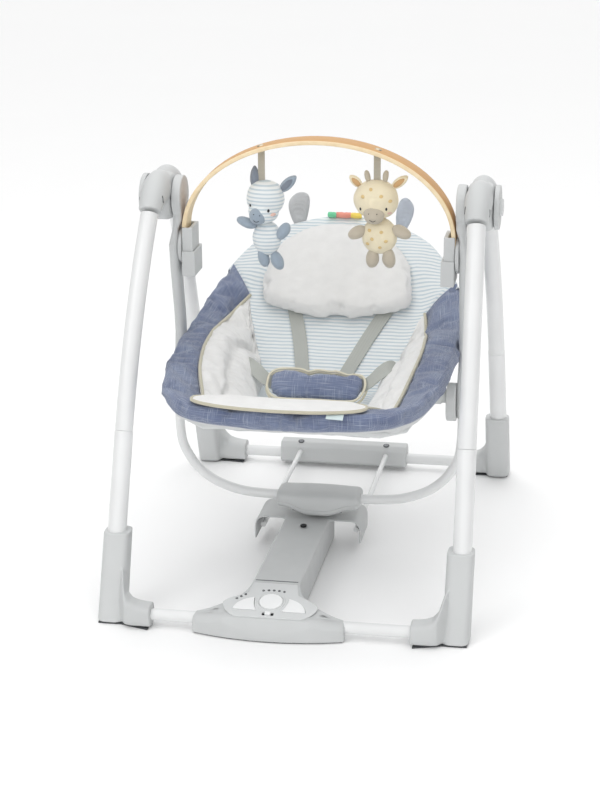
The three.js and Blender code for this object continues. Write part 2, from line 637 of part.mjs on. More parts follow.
add('donkey_toy', plushToy(-TOY_X, { head: 580, strap: 670 }, [
  [0, 0, 586, 29, 22, 29], [0, 0, 530, 22, 17, 31], [-6, -16, 574, 14, 10, 17],
  [-29, 0, 547, 17, 9, 9, 0.5], [28, 0, 541, 11, 9, 17, 0.3],
  [-13, 0, 495, 9, 9, 16, 0.2], [12, 0, 494, 9, 9, 17, -0.3],
  [-19, 0, 618, 7, 6, 20, -0.2], [29, 0, 613, 9, 6, 20, 0.8]]), blueToy);
add('giraffe_toy', plushToy(TOY_X, { head: 590, strap: 670 }, [
  [0, 0, 596, 34, 23, 30], [0, 0, 541, 26, 19, 32], [0, -16, 585, 17, 11, 15],
  [-33, 0, 552, 17, 10, 11, -0.3], [34, 0, 551, 17, 10, 11, 0.3], [-13, 0, 503, 11, 10, 19, 0.1],
  [14, 0, 506, 11, 10, 18, -0.1], [-36, 0, 617, 9, 7, 15, -0.5], [37, 0, 617, 9, 7, 15, 0.6]]), creamToy);

// ---------------------------------------------------------------- seat
// Right half of the rim, from the front edge round to the top of the backrest
const RIM_HALF = [[60, -344, 346], [150, -322, 347], [198, -262, 350], [219, -180, 353], [227, -85, 357],
  [228, 15, 362], [222, 115, 378], [204, 212, 412], [152, 272, 462], [80, 303, 488]];
const rimLeft = RIM_HALF.toReversed().map(([x, y, z]) => [-x, y, z]);
const rimPoints = [[0, -347, 346], ...RIM_HALF, [0, 315, 498], ...rimLeft];
const rimCurve = new THREE.CatmullRomCurve3(rimPoints.map((p) => vec(...p)), true);
const SEAT_CENTRE_Y = -5;
const spinePoints = [[-347, 346], [-292, 342], [-235, 308], [-165, 277], [-80, 256], [10, 254], [70, 284],
  [150, 353], [230, 423], [315, 498]];
const SEAT_SPINE = new THREE.CatmullRomCurve3(spinePoints.map(([y, z]) => vec(0, y, z)));
const PAD_THICKNESS = 24;
const RIM_SAMPLES = 30;

// Height of the seat's middle line at y, read off the spine by halving
function spineHeight(y) {
  let [low, high] = [0, 1];
  for (let round = 0; round < 24; round += 1) {
    const middle = (low + high) / 2;
    if (SEAT_SPINE.getPoint(middle).y < y) low = middle; else high = middle;
  }
  return SEAT_SPINE.getPoint(low).z;
}

// Point on the seat's upper surface, a fraction of the way from the middle to the rim. The side walls rise
// between two fractions and level out into a border; beside the backrest they start further out.
function seatPoint(sample, fraction, drop = 0) {
  const rim = rimCurve.getPoint(sample / RIM_SAMPLES);
  const y = mix(SEAT_CENTRE_Y, rim.y, fraction);
  const beside = THREE.MathUtils.smoothstep(rim.y, 60, 180);
  const rise = THREE.MathUtils.smoothstep(fraction, mix(0.32, 0.56, beside), mix(0.8, 0.87, beside));
  const wall = (rim.z - spineHeight(rim.y)) * rise;
  return vec(rim.x * fraction, y, spineHeight(y) + wall - drop);
}

const seatRing = (fraction, drop) =>
  Array.from({ length: RIM_SAMPLES }, (_, sample) => seatPoint(sample, fraction, drop));

const padRings = [...[0.04, 0.2, 0.34, 0.46, 0.57, 0.68, 0.79, 0.88, 0.95].map((f) => seatRing(f, 0)),
  seatRing(0.99, 5), seatRing(1, 13), seatRing(0.985, 21),
  ...[0.94, 0.86, 0.75, 0.63, 0.51, 0.38, 0.2, 0.04].map((f) => seatRing(f, PAD_THICKNESS))];
add('seat_pad', skin(padRings), denim);

const FRAME_R = 7;
const FRAME_FRACTION = 0.85;
const FRAME_CLEARANCE = 2.5;

// The frame tube follows the pad's underside at a constant distance
const frameRings = Array.from({ length: RIM_SAMPLES }, (_, sample) => {
  const surface = (step, fraction) =>
    seatPoint((sample + step + RIM_SAMPLES) % RIM_SAMPLES, fraction, PAD_THICKNESS);
  const outwards = surface(0, FRAME_FRACTION + 0.05).sub(surface(0, FRAME_FRACTION - 0.05)).normalize();
  const around = surface(0.5, FRAME_FRACTION).sub(surface(-0.5, FRAME_FRACTION)).normalize();
  const down = vec().crossVectors(outwards, around).normalize();
  if (down.z > 0) down.negate();
  const centre = surface(0, FRAME_FRACTION).addScaledVector(down, FRAME_R + FRAME_CLEARANCE);
  return Array.from({ length: 8 }, (_unused, corner) => {
    const angle = (corner / 8) * Math.PI * 2;
    return centre.clone().addScaledVector(outwards, FRAME_R * Math.cos(angle))
      .addScaledVector(down, FRAME_R * Math.sin(angle));
  });
});
const stub = join(discX(203, 214.2, ...RECLINE_AXIS, 12), box([189, 206], [-27, -3], [268, 326]));
add('seat_frame', join(hoop(frameRings), stub, mirrored(stub)), palePlastic);

// The backrest rises at this slope behind the seat's lowest part
const backSlope = Math.atan2(498 - 353, 315 - 150);
const toBackrest = new THREE.Matrix4().makeRotationX(backSlope).setPosition(0, 150, 353);

function headPillow() {
  const shape = new THREE.Shape();
  shape.moveTo(-98, 2);
  shape.quadraticCurveTo(0, -24, 98, 2);
  shape.bezierCurveTo(142, 16, 148, 70, 124, 122);
  shape.bezierCurveTo(98, 172, 50, 192, 0, 192);
  shape.bezierCurveTo(-50, 192, -98, 172, -124, 122);
  shape.bezierCurveTo(-148, 70, -142, 16, -98, 2);
  return alongZ(shape, 3, 26).applyMatrix4(toBackrest);
}

add('head_pillow', headPillow(), whiteFabric);

function crotchPad() {
  const shape = new THREE.Shape();
  shape.absarc(-66, 0, 26, Math.PI / 2, (3 * Math.PI) / 2);
  shape.absarc(66, 0, 26, -Math.PI / 2, Math.PI / 2);
  const tilt = new THREE.Matrix4().makeRotationX(THREE.MathUtils.degToRad(40)).setPosition(0, -34, 287);
  return alongZ(shape, 0, 16).applyMatrix4(tilt);
}

add('crotch_pad', crotchPad(), denim);

export default swing;
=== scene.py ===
import math
import bmesh
import bpy
from mathutils import Matrix, Vector, noise
from mathutils.bvhtree import BVHTree


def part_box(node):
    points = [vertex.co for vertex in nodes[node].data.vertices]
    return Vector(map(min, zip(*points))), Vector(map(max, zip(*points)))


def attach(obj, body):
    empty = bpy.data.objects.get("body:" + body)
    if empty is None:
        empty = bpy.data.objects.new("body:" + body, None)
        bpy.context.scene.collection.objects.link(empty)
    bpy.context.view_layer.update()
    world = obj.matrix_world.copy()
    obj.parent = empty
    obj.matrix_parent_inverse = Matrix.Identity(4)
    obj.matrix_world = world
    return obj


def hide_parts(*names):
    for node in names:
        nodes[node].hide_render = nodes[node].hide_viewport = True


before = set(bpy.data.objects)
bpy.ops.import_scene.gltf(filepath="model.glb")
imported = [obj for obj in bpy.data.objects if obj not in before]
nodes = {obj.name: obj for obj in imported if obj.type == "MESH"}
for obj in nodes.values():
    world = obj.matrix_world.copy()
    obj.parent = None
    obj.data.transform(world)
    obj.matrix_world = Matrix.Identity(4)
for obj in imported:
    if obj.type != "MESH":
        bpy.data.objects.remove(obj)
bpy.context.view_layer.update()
SIDES = (("right", 1), ("left", -1))


# ---------------------------------------------------------------- small helpers
def mix(a, b, t):
    return a + (b - a) * t


def smoothstep(x, low, high):
    t = min(1.0, max(0.0, (x - low) / (high - low)))
    return t * t * (3 - 2 * t)


def between(a, b, c, d, u):
    """Catmull-Rom point between b and c."""
    return 0.5 * ((2 * b) + (c - a) * u + (2 * a - 5 * b + 4 * c - d) * u ** 2
                  + (3 * b - a - 3 * c + d) * u ** 3)


def along(points, t):
    """Point at t (0 to 1) on a smooth curve through the points."""
    last = len(points) - 1
    i = min(int(t * last), last - 1)
    return between(*(points[min(max(i + k, 0), last)] for k in (-1, 0, 1, 2)), t * last - i)


def circle(count):
    """Cosine and sine at even steps once round."""
    return [(math.cos(a), math.sin(a)) for a in (2 * math.pi * k / count for k in range(count))]


def smooth_path(points, count):
    vectors = [Vector(p) for p in points]
    return [along(vectors, i / (count - 1)) for i in range(count)]


# ---------------------------------------------------------------- materials
def srgb(r, g, b):
    """Linear colour from 0 to 255 display values."""
    return [(c / 255) ** 2.2 for c in (r, g, b)] + [1.0]


class Shader:
    """A node material under construction."""

    def __init__(self, name, roughness=0.5, metallic=0.0, sheen=0.0, coat=0.0, specular=0.5):
        self.material = bpy.data.materials.new(name)
        self.material.use_nodes = True
        self.tree = self.material.node_tree
        self.bsdf = self.tree.nodes["Principled BSDF"]
        self.bsdf.inputs["Roughness"].default_value = roughness
        self.bsdf.inputs["Metallic"].default_value = metallic
        self.bsdf.inputs["Sheen Weight"].default_value = sheen
        self.bsdf.inputs["Coat Weight"].default_value = coat
        self.bsdf.inputs["Specular IOR Level"].default_value = specular

    def node(self, kind, inputs=(), **settings):
        made = self.tree.nodes.new(kind)
        for key, value in settings.items():
            setattr(made, key, value)
        for key, value in dict(inputs).items():
            if isinstance(value, bpy.types.NodeSocket):
                self.tree.links.new(value, made.inputs[key])
            else:
                made.inputs[key].default_value = value
        return made

    def coords(self, scale=(1, 1, 1), attribute=None):
        if attribute:
            source = self.node("ShaderNodeAttribute", attribute_name=attribute).outputs["Vector"]
        else:
            source = self.node("ShaderNodeTexCoord").outputs["Object"]
        return self.node("ShaderNodeMapping", {"Vector": source, "Scale": scale}).outputs[0]

    def noise(self, scale, vector=None, detail=2.0):
        vector = vector or self.coords()
        found = self.node("ShaderNodeTexNoise", {"Vector": vector, "Scale": scale, "Detail": detail})
        return found.outputs["Fac"]

    def bands(self, vector, period, direction, distortion=0.0):
        """Sine bands of that period, in the units of the vector; the wave node's phase runs 20 times."""
        found = self.node("ShaderNodeTexWave", {"Vector": vector, "Scale": 2 * math.pi / (20 * period),
                                                "Distortion": distortion, "Detail": 1.0,
                                                "Detail Scale": 0.4}, bands_direction=direction)
        return found.outputs["Fac"]

    def range(self, value, low, high, to_low=0.0, to_high=1.0):
        return self.node("ShaderNodeMapRange", {"Value": value, "From Min": low, "From Max": high,
                                                "To Min": to_low, "To Max": to_high}).outputs[0]

    def math(self, operation, a, b):
        return self.node("ShaderNodeMath", {0: a, 1: b}, operation=operation).outputs[0]

    def blend(self, factor, a, b, mode="MIX"):
        made = self.node("ShaderNodeMix", data_type="RGBA", blend_type=mode)
        for socket, value in zip((made.inputs[0], made.inputs[6], made.inputs[7]), (factor, a, b)):
            if isinstance(value, bpy.types.NodeSocket):
                self.tree.links.new(value, socket)
            else:
                socket.default_value = value
        return made.outputs[2]

    def color(self, socket):
        self.tree.links.new(socket, self.bsdf.inputs["Base Color"])

    def roughness(self, socket):
        self.tree.links.new(socket, self.bsdf.inputs["Roughness"])

    def bump(self, height, distance, strength=1.0):
        made = self.node("ShaderNodeBump", {"Height": height, "Distance": distance, "Strength": strength})
        self.tree.links.new(made.outputs[0], self.bsdf.inputs["Normal"])


def plastic(name, color, roughness=0.48, grain=0.00006):
    """Moulded plastic: fine spark-eroded grain, a slow drift of tone and slight marks in the gloss."""
    s = Shader(name, roughness, specular=0.4)
    tone = s.range(s.noise(9, detail=3.0), 0.3, 0.7)
    s.color(s.blend(tone, [c * 0.965 for c in color[:3]] + [1], [c * 1.02 for c in color[:3]] + [1]))
    s.roughness(s.range(s.noise(60, detail=4.0), 0.35, 0.65, roughness - 0.05, roughness + 0.07))
    s.bump(s.noise(1400), grain)
    return s.material


def paint(name, color, roughness=0.3):
    """Powder-coated steel tube: slight orange peel under a soft gloss."""
    s = Shader(name, roughness, coat=0.25)
    s.color(s.blend(s.range(s.noise(14), 0.35, 0.65), color, [c * 0.97 for c in color[:3]] + [1]))
    s.bump(s.noise(420), 0.00006)
    return s.material


def weave_height(s, vector, period):
    """Plain weave: two crossing sets of threads."""
    warp = s.bands(vector, period, "X", 0.6)
    weft = s.bands(vector, period, "Y", 0.6)
    return s.math("MAXIMUM", warp, weft)


def chambray(name, attribute="weave"):
    """Blue slub cotton: a fine weave with paler threads and short thick slubs both ways."""
    s = Shader(name, 0.85, sheen=0.35)
    flat = s.coords(attribute=attribute)
    cloudy = s.range(s.noise(14, detail=3.0), 0.35, 0.65)
    base = s.blend(cloudy, srgb(106, 118, 150), srgb(128, 140, 169))
    across = s.noise(1.0, s.coords((26, 900, 26), attribute), 1.0)
    upward = s.noise(1.0, s.coords((900, 26, 26), attribute), 1.0)
    slubs = s.math("MAXIMUM", s.range(across, 0.56, 0.72), s.range(upward, 0.58, 0.74))
    pale = s.blend(s.math("MULTIPLY", slubs, 0.75), base, srgb(184, 193, 210))
    dark = s.range(s.noise(1.0, s.coords((30, 700, 30), attribute), 1.0), 0.30, 0.42, 0.5, 0.0)
    threads = weave_height(s, flat, 0.0011)
    s.color(s.blend(s.math("MULTIPLY", s.math("SUBTRACT", 1.0, threads), 0.35),
                    s.blend(dark, pale, srgb(74, 83, 110)), srgb(70, 80, 108)))
    s.bump(s.math("ADD", threads, s.math("MULTIPLY", slubs, 0.6)), 0.00035)
    return s.material


def striped(name, attribute, period=0.0069, axis="Y"):
    """White jersey with printed pale-blue stripes."""
    s = Shader(name, 0.85, sheen=0.3)
    flat = s.coords(attribute=attribute)
    line = s.range(s.bands(flat, period, axis, 0.5), 0.52, 0.74)
    knit = s.bands(flat, 0.0012, "X", 0.4)
    white = s.blend(s.noise(30, detail=3.0), srgb(240, 243, 243), srgb(230, 235, 236))
    blue = s.blend(s.noise(60, detail=3.0), srgb(190, 205, 214), srgb(207, 218, 224))
    s.color(s.blend(line, white, blue))
    s.bump(s.math("ADD", knit, s.math("MULTIPLY", s.noise(160), 1.5)), 0.00025)
    return s.material


def cloth(name, color, roughness=0.9, sheen=0.4, thread=0.0010, fuzz=0.0004, spread=0.94):
    """Plain soft cloth: fine threads, fibre noise and gentle tone changes."""
    s = Shader(name, roughness, sheen=sheen)
    tone = s.range(s.noise(45, detail=5.0), 0.3, 0.7)
    s.color(s.blend(tone, [c * spread for c in color[:3]] + [1], color))
    threads = weave_height(s, s.coords(), thread)
    fibres = s.noise(900, detail=4.0)
    s.bump(s.math("ADD", s.math("MULTIPLY", threads, 0.5), fibres), fuzz)
    return s.material


def webbing(name, color):
    """Woven strap: ribs across the strap and a denser edge."""
    s = Shader(name, 0.8, sheen=0.2)
    flat = s.coords(attribute="weave")
    ribs = s.bands(flat, 0.0022, "Y", 0.2)
    s.color(s.blend(s.math("MULTIPLY", ribs, 0.35), color, [c * 0.8 for c in color[:3]] + [1]))
    s.bump(s.math("ADD", ribs, s.math("MULTIPLY", s.noise(900), 0.5)), 0.0003)
    return s.material


def timber(name, pale, dark, rings):
    s = Shader(name, 0.62, specular=0.25)
    grain = s.noise(1.0, s.coords((60, 500, 60)), 4.0)
    fibres = s.noise(1.0, s.coords((140, 2600, 140)), 2.0)
    tone = s.math("ADD", s.math("MULTIPLY", s.range(grain, 0.3, 0.7), 0.7),
                  s.math("MULTIPLY", fibres, 0.3 * rings))
    s.color(s.blend(tone, pale, dark))
    s.bump(fibres, 0.00008)
    return s.material


def metal(name, color, roughness=0.3):
    s = Shader(name, roughness, metallic=1.0)
    s.color(s.blend(s.noise(300), color, [c * 0.85 for c in color[:3]] + [1]))
    return s.material


GREY = srgb(199, 201, 201)
MATERIALS = {
    "grey": plastic("grey_plastic", GREY),
    "pale": plastic("pale_plastic", srgb(214, 216, 216)),
    "white": plastic("white_plastic", srgb(244, 245, 245), 0.4),
    "dark": plastic("dark_plastic", srgb(92, 95, 98), 0.6),
    "black": plastic("black_lens", srgb(34, 36, 38), 0.3),
    "sole": plastic("sole_rubber", srgb(78, 80, 82), 0.85, 0.0002),
    "paint": paint("white_paint", srgb(230, 231, 231)),
    "rivet": metal("rivet_brass", srgb(196, 184, 160), 0.35),
    "screw": metal("screw_steel", srgb(150, 152, 155)),
    "copper": metal("copper_wire", srgb(184, 115, 64), 0.4),
    "magnet": metal("magnet_steel", srgb(140, 143, 146), 0.4),
    "board": plastic("circuit_board", srgb(50, 110, 78), 0.5),
    "blue": chambray("blue_chambray"),
    "stripe": striped("striped_jersey", "weave"),
    "quilt": cloth("white_quilting", srgb(236, 236, 235), sheen=0.5),
    "plush": cloth("pillow_plush", srgb(236, 236, 235), sheen=0.4, fuzz=0.0005),
    "under": cloth("grey_undercover", srgb(214, 216, 217)),
    "piping": cloth("khaki_piping", srgb(198, 193, 172), thread=0.0008),
    "cream": cloth("cream_piping", srgb(220, 214, 192), thread=0.0008),
    "strap": webbing("strap_webbing", srgb(176, 179, 174)),
    "ribbon": webbing("toy_ribbon", srgb(178, 172, 158)),
    "ear_grey": cloth("grey_velvet", srgb(196, 198, 200), fuzz=0.0006, spread=0.85),
    "ear_blue": cloth("blue_grey_velvet", srgb(190, 197, 208), fuzz=0.0006, spread=0.85),
    "toy_stripe": striped("toy_stripe", None, 0.0062, "Z"),
    "toy_blue": cloth("toy_blue_plush", srgb(158, 172, 186), fuzz=0.0006),
    "toy_slate": cloth("toy_slate_plush", srgb(128, 136, 148), fuzz=0.0006),
    "toy_cream": cloth("toy_cream_plush", srgb(243, 231, 200), fuzz=0.0006),
    "toy_taupe": cloth("toy_taupe_plush", srgb(196, 186, 168), fuzz=0.0006),
    "toy_tan": cloth("toy_tan_plush", srgb(205, 165, 118), fuzz=0.0005),
    "thread": cloth("dark_thread", srgb(48, 48, 52), sheen=0.1),
    "blush": cloth("blush_thread", srgb(238, 198, 184)),
    "spot": cloth("spot_thread", srgb(222, 194, 138)),
    "green": cloth("green_ribbon", srgb(120, 214, 164)),
    "coral": cloth("coral_ribbon", srgb(240, 156, 138)),
    "yellow": cloth("yellow_ribbon", srgb(250, 220, 104)),
    "wood": timber("beech_face", srgb(212, 170, 122), srgb(194, 149, 100), 1.0),
    "ply": timber("beech_edge", srgb(242, 224, 190), srgb(228, 203, 162), 0.5),
    "teal": cloth("pale_tag", srgb(214, 230, 232)),
}


# ---------------------------------------------------------------- building pieces
def piece(name, vertices, faces, materials, body, slot, sharp=40, weave=None, face_material=None):
    """A mesh object that rides on a body; weave holds flat cloth coordinates, one per vertex."""
    mesh = bpy.data.meshes.new(name)
    mesh.from_pydata([tuple(v) for v in vertices], [], faces)
    if weave:
        layer = mesh.attributes.new("weave", "FLOAT_VECTOR", "POINT")
        layer.data.foreach_set("vector", [c for w in weave for c in (w[0], w[1], 0.0)])
    for key in materials if isinstance(materials, (list, tuple)) else [materials]:
        mesh.materials.append(MATERIALS[key])
    if face_material:
        mesh.polygons.foreach_set("material_index", [face_material(p) for p in mesh.polygons])
    bm = bmesh.new()
    bm.from_mesh(mesh)
    bmesh.ops.recalc_face_normals(bm, faces=bm.faces)
    bm.to_mesh(mesh)
    bm.free()
    mesh.polygons.foreach_set("use_smooth", [True] * len(mesh.polygons))
    mesh.set_sharp_from_angle(angle=math.radians(sharp))
    made = bpy.data.objects.new(name, mesh)
    bpy.context.scene.collection.objects.link(made)
    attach(made, body)
    return made


def loft(rings, closed=False):
    """Vertices and faces of a skin through rings of equal length; a closed one joins last to first."""
    count = len(rings[0])
    vertices = [p for ring in rings for p in ring]
    faces = []
    for r in range(len(rings) if closed else len(rings) - 1):
        a, b = r * count, ((r + 1) % len(rings)) * count
        for i in range(count):
            j = (i + 1) % count
            faces.append((a + i, a + j, b + j, b + i))
    if not closed:
        faces += [tuple(range(count))[::-1], tuple(range(len(vertices) - count, len(vertices)))]
    return vertices, faces


def frames_along(path):
    """Tangent, side and up at each point, turning as little as possible."""
    found = []
    up = None
    for i, point in enumerate(path):
        tangent = (path[min(i + 1, len(path) - 1)] - path[max(i - 1, 0)]).normalized()
        if up is None:
            up = tangent.orthogonal().normalized()
        up = (up - tangent * up.dot(tangent)).normalized()
        found.append((tangent, tangent.cross(up), up))
    return found


def tube(name, path, radius, material, body, slot, sides=20):
    """Round tube along a path; the radius may be a function of the share of the path."""
    rings = []
    last = len(path) - 1
    for i, (point, (_, side, up)) in enumerate(zip(path, frames_along(path))):
        r = radius(i / last) if callable(radius) else radius
        rings.append([point + side * (r * c) + up * (r * s) for c, s in circle(sides)])
    return piece(name, *loft(rings), material, body, slot, sharp=50)


def disc(name, centre, axis, profile, material, body, slot, sides=40, sharp=35):
    """Turned piece: profile is (radius, distance along the axis), from the axis round to the axis."""
    axis = Vector(axis).normalized()
    side = axis.orthogonal().normalized()
    up = axis.cross(side)
    rings = [[Vector(centre) + axis * h + side * (r * c) + up * (r * s) for c, s in circle(sides)]
             for r, h in profile]
    return piece(name, *loft(rings), material, body, slot, sharp=sharp)


def ribbon(name, path, widths, width, thickness, material, body, slot):
    """Flat strap along a path; widths gives the direction across it at each point."""
    rings = []
    weave = []
    run = 0.0
    columns = 6
    for i, (point, across) in enumerate(zip(path, widths)):
        run += (point - path[i - 1]).length if i else 0.0
        tangent = (path[min(i + 1, len(path) - 1)] - path[max(i - 1, 0)]).normalized()
        across = (across - tangent * across.dot(tangent)).normalized()
        normal = tangent.cross(across)
        spread = [(-0.5 + k / columns) for k in range(columns + 1)]
        rim = [(u, 0.5) for u in spread] + [(u, -0.5) for u in reversed(spread)]
        rings.append([point + across * (u * width) + normal * (h * thickness) for u, h in rim])
        weave += [(u * width, run) for u, h in rim]
    return piece(name, *loft(rings), material, body, slot, sharp=60, weave=weave)


def blob(name, centre, radii, material, body, slot, tilt=0.0):
    """Stuffed form: an ellipsoid with slightly fuller ends, tilted in the plane of x and z."""
    matrix = Matrix.Translation(centre) @ Matrix.Rotation(tilt, 4, "Y")
    rows, fullness = 18, 0.9
    rings = []
    for row in range(rows + 1):
        a = math.pi * (0.02 + 0.96 * row / rows)
        r = math.sin(a) ** fullness
        rings.append([matrix @ Vector((radii[0] * r * c, radii[1] * r * s, -radii[2] * math.cos(a)))
                      for c, s in circle(28)])
    return piece(name, *loft(rings), material, body, slot, sharp=80)


def joined(*parts):
    """Vertices and faces of several lofts as one."""
    vertices, faces = [], []
    for more, more_faces in parts:
        start = len(vertices)
        vertices = vertices + more
        faces += [tuple(start + i for i in face) for face in more_faces]
    return vertices, faces


def baked(obj):
    """Mesh of an object with its modifiers applied."""
    return bpy.data.meshes.new_from_object(obj.evaluated_get(bpy.context.evaluated_depsgraph_get()))


def applied(obj):
    """Puts the modifiers' result into the mesh."""
    made = baked(obj)
    obj.modifiers.clear()
    obj.data = made


def shaded_smooth(obj):
    obj.data.polygons.foreach_set("use_smooth", [True] * len(obj.data.polygons))


def remeshed(obj, voxel):
    """Replaces the mesh with an even voxel skin."""
    modifier = obj.modifiers.new("Voxel", "REMESH")
    modifier.mode = "VOXEL"
    modifier.voxel_size = voxel
    applied(obj)


def softened(obj, passes):
    """Relaxes the mesh so that its edges turn soft."""
    modifier = obj.modifiers.new("Soften", "SMOOTH")
    modifier.factor, modifier.iterations = 0.5, passes
    shaded_smooth(obj)


def rounded(node, voxel, passes):
    """Gives a CAD node soft moulded edges without touching its mesh."""
    remesh = nodes[node].modifiers.new("Round", "REMESH")
    remesh.mode = "VOXEL"
    remesh.voxel_size = voxel * 1
    remesh.use_smooth_shade = True
    smooth = nodes[node].modifiers.new("Soften", "SMOOTH")
    smooth.factor = 0.5
    smooth.iterations = passes


def finish(node, material):
    nodes[node].material_slots[0].material = MATERIALS[material]


def bevelled(node, width=0.0008):
    bevel = nodes[node].modifiers.new("Edge", "BEVEL")
    bevel.width = width
    bevel.segments = 2
    bevel.limit_method = "ANGLE"
    bevel.angle_limit = math.radians(35)


# ---------------------------------------------------------------- camera, light and floor
def camera_and_light():
    camera = bpy.data.objects.new("camera", bpy.data.cameras.new("camera"))
    bpy.context.scene.collection.objects.link(camera)
    turn, tilt, roll = (math.radians(a) for a in (9.82, 90 - 18.66, -0.24))
    camera.matrix_world = Matrix.Translation((0.561, -3.364, 1.408)) @ Matrix.Rotation(turn, 4, "Z") \
        @ Matrix.Rotation(tilt, 4, "X") @ Matrix.Rotation(roll, 4, "Z")
    camera.data.lens = 96.9
    camera.data.sensor_width = 36
    camera.data.shift_x = -0.0095
    bpy.context.scene.camera = camera

    # A white room that is darker to the left and right, so that round white tubes get shaded edges
    world = bpy.data.worlds.new("studio")
    world.use_nodes = True
    tree = world.node_tree
    across = tree.nodes.new("ShaderNodeSeparateXYZ")
    tree.links.new(tree.nodes.new("ShaderNodeTexCoord").outputs["Generated"], across.inputs[0])
    width = tree.nodes.new("ShaderNodeMath")
    width.operation = "ABSOLUTE"
    tree.links.new(across.outputs["X"], width.inputs[0])
    fall = tree.nodes.new("ShaderNodeMapRange")
    fall.interpolation_type = "SMOOTHSTEP"
    for key, value in (("From Min", 0.35), ("From Max", 0.8), ("To Min", 1.25), ("To Max", 0.28)):
        fall.inputs[key].default_value = value
    tree.links.new(width.outputs[0], fall.inputs["Value"])
    tree.links.new(fall.outputs[0], tree.nodes["Background"].inputs["Strength"])
    tree.nodes["Background"].inputs["Color"].default_value = (1, 1, 1, 1)
    bpy.context.scene.world = world
    bpy.context.scene.view_settings.view_transform = "Standard"

    for name, place, size, power in (("key", (-1.7, -2.2, 2.4), 1.5, 13),
                                     ("fill", (2.2, -2.0, 1.6), 2.0, 5),
                                     ("top", (0.0, 0.4, 2.8), 2.2, 12)):
        light = bpy.data.objects.new(name, bpy.data.lights.new(name, "AREA"))
        light.data.size = size
        light.data.energy = power
        light.location = place
        light.rotation_euler = (Vector((0, 0, 0.3)) - Vector(place)).to_track_quat("-Z", "Y").to_euler()
        bpy.context.scene.collection.objects.link(light)

    floor_half = 30.0
    mesh = bpy.data.meshes.new("floor")
    mesh.from_pydata([(-floor_half, -floor_half, 0), (floor_half, -floor_half, 0),
                      (floor_half, floor_half, 0), (-floor_half, floor_half, 0)], [], [(0, 1, 2, 3)])
    floor = bpy.data.objects.new("floor", mesh)
    bpy.context.scene.collection.objects.link(floor)
    shade = Shader("floor_paint", 0.7)
    shade.color(shade.blend(shade.noise(2), srgb(252, 252, 252), srgb(254, 254, 254)))
    mesh.materials.append(shade.material)


camera_and_light()


# ---------------------------------------------------------------- frame: tubes, feet, hubs
LEG_TOP_X, LEG_SEAM_X, LEG_FOOT_X = 0.2627, 0.2715, 0.273
LEGS = {  # side of the hub's plane, then [distance from it, height] of the socket, seam and hub end
    "front": (-1, (0.314, 0.122), (0.255, 0.275), (0.077, 0.596)),
    "rear": (1, (0.328, 0.122), (0.262, 0.275), (0.077, 0.596)),
}
LOWER_R, UPPER_R = 0.0148, 0.0143
FLOOR_TUBE_Y = 0.380


def leg_marks(prefix, sign):
    """Socket, seam and hub end of a leg."""
    side, socket, seam, hub = LEGS[prefix]
    return (Vector((sign * LEG_FOOT_X, side * socket[0], socket[1])),
            Vector((sign * LEG_SEAM_X, side * seam[0], seam[1])), Vector((sign * LEG_TOP_X, side * hub[0],
                                                                          hub[1])))


def upper_leg_path(prefix, sign):
    low, middle, top = leg_marks(prefix, sign)
    rise = (middle - low).normalized()
    start = middle + rise * 0.0004
    bend = start + rise * ((top - middle).length * 0.5)
    return [start.lerp(bend, t).lerp(bend.lerp(top, t), t) for t in (i / 28 for i in range(29))]


def leg_tubes(prefix):
    side = LEGS[prefix][0]
    body = f"{prefix}_frame"
    for name, sign in SIDES:
        low, middle, _ = leg_marks(prefix, sign)
        upper = tube(f"{prefix}_upper_leg_{name}_tube", upper_leg_path(prefix, sign)[:-1], UPPER_R,
                     "paint", body,
                     "white_paint", 36)
        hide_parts(f"{prefix}_upper_leg_{name}")
        down = (low - middle).normalized()
        rim = [middle, middle + down * 0.0003, middle + down * 0.0012, low + down * 0.06]
        lower = tube(f"{prefix}_lower_leg_{name}_tube", rim,
                     lambda t: LOWER_R if t > 0.5 else LOWER_R - 0.0006 * (1 - t * 2), "paint", body,
                     "white_paint", 36)
        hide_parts(f"{prefix}_lower_leg_{name}")
        if side > 0:
            facing = Vector((0, -1, 0.25)).normalized()
            screw(f"rear_leg_screw_{name}", middle + down * 0.026 + facing * (LOWER_R - 0.0006), facing,
                  0.0034,
                  body)


def screw(name, at, axis, radius, body):
    """Round screw head in a countersink, ringed by a dark disc that is painted shade of the countersink."""
    disc(name, at, axis, [(0.00001, 0.0004), (radius * 0.45, 0.0002), (radius * 0.55, 0.0010),
                          (radius * 0.9, 0.0011), (radius, 0.0003), (radius, -0.001), (0.00001, -0.001)],
         "screw", body, "grey_plastic", 24)
    # painted shade: a dark ring stands for the shade in the countersink round the head
    disc(f"{name}_recess_shade", at, axis, [(radius, 0.0002), (radius * 1.5, 0.0004), (radius * 1.5, -0.001),
                                          (radius, -0.001), (radius, 0.0002)], "dark", body,
         "dark_plastic", 24)


def floor_tubes():
    for prefix, (side, *_) in LEGS.items():
        low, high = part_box(f"{prefix}_floor_tube")
        y, z = side * FLOOR_TUBE_Y, 0.020
        made = tube(f"{prefix}_floor_bar", [Vector((low[0], y, z)), Vector((high[0], y, z))], 0.0095,
                    "paint",
                    f"{prefix}_frame", "white_paint", 36)
        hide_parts(f"{prefix}_floor_tube")


def brace_rods():
    for name, sign in SIDES:
        low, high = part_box(f"brace_rod_{name}")
        x, z = (low[0] + high[0]) / 2, (low[2] + high[2]) / 2
        made = tube(f"brace_rod_{name}_bar", [Vector((x, low[1], z)), Vector((x, high[1], z))], 0.0045,
                    "paint",
                    "brace", "white_paint", 24)
        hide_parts(f"brace_rod_{name}")
        screw(f"bracket_screw_{name}", Vector((x, 0.3685, 0.0472)), (0, -0.2, 1), 0.0038, "brace")


FOOT_TOPS = ((0.203, 0.037), (0.214, 0.0375), (0.226, 0.0395), (0.236, 0.0435), (0.244, 0.0520),
             (0.250, 0.0700), (0.258, 0.0900))


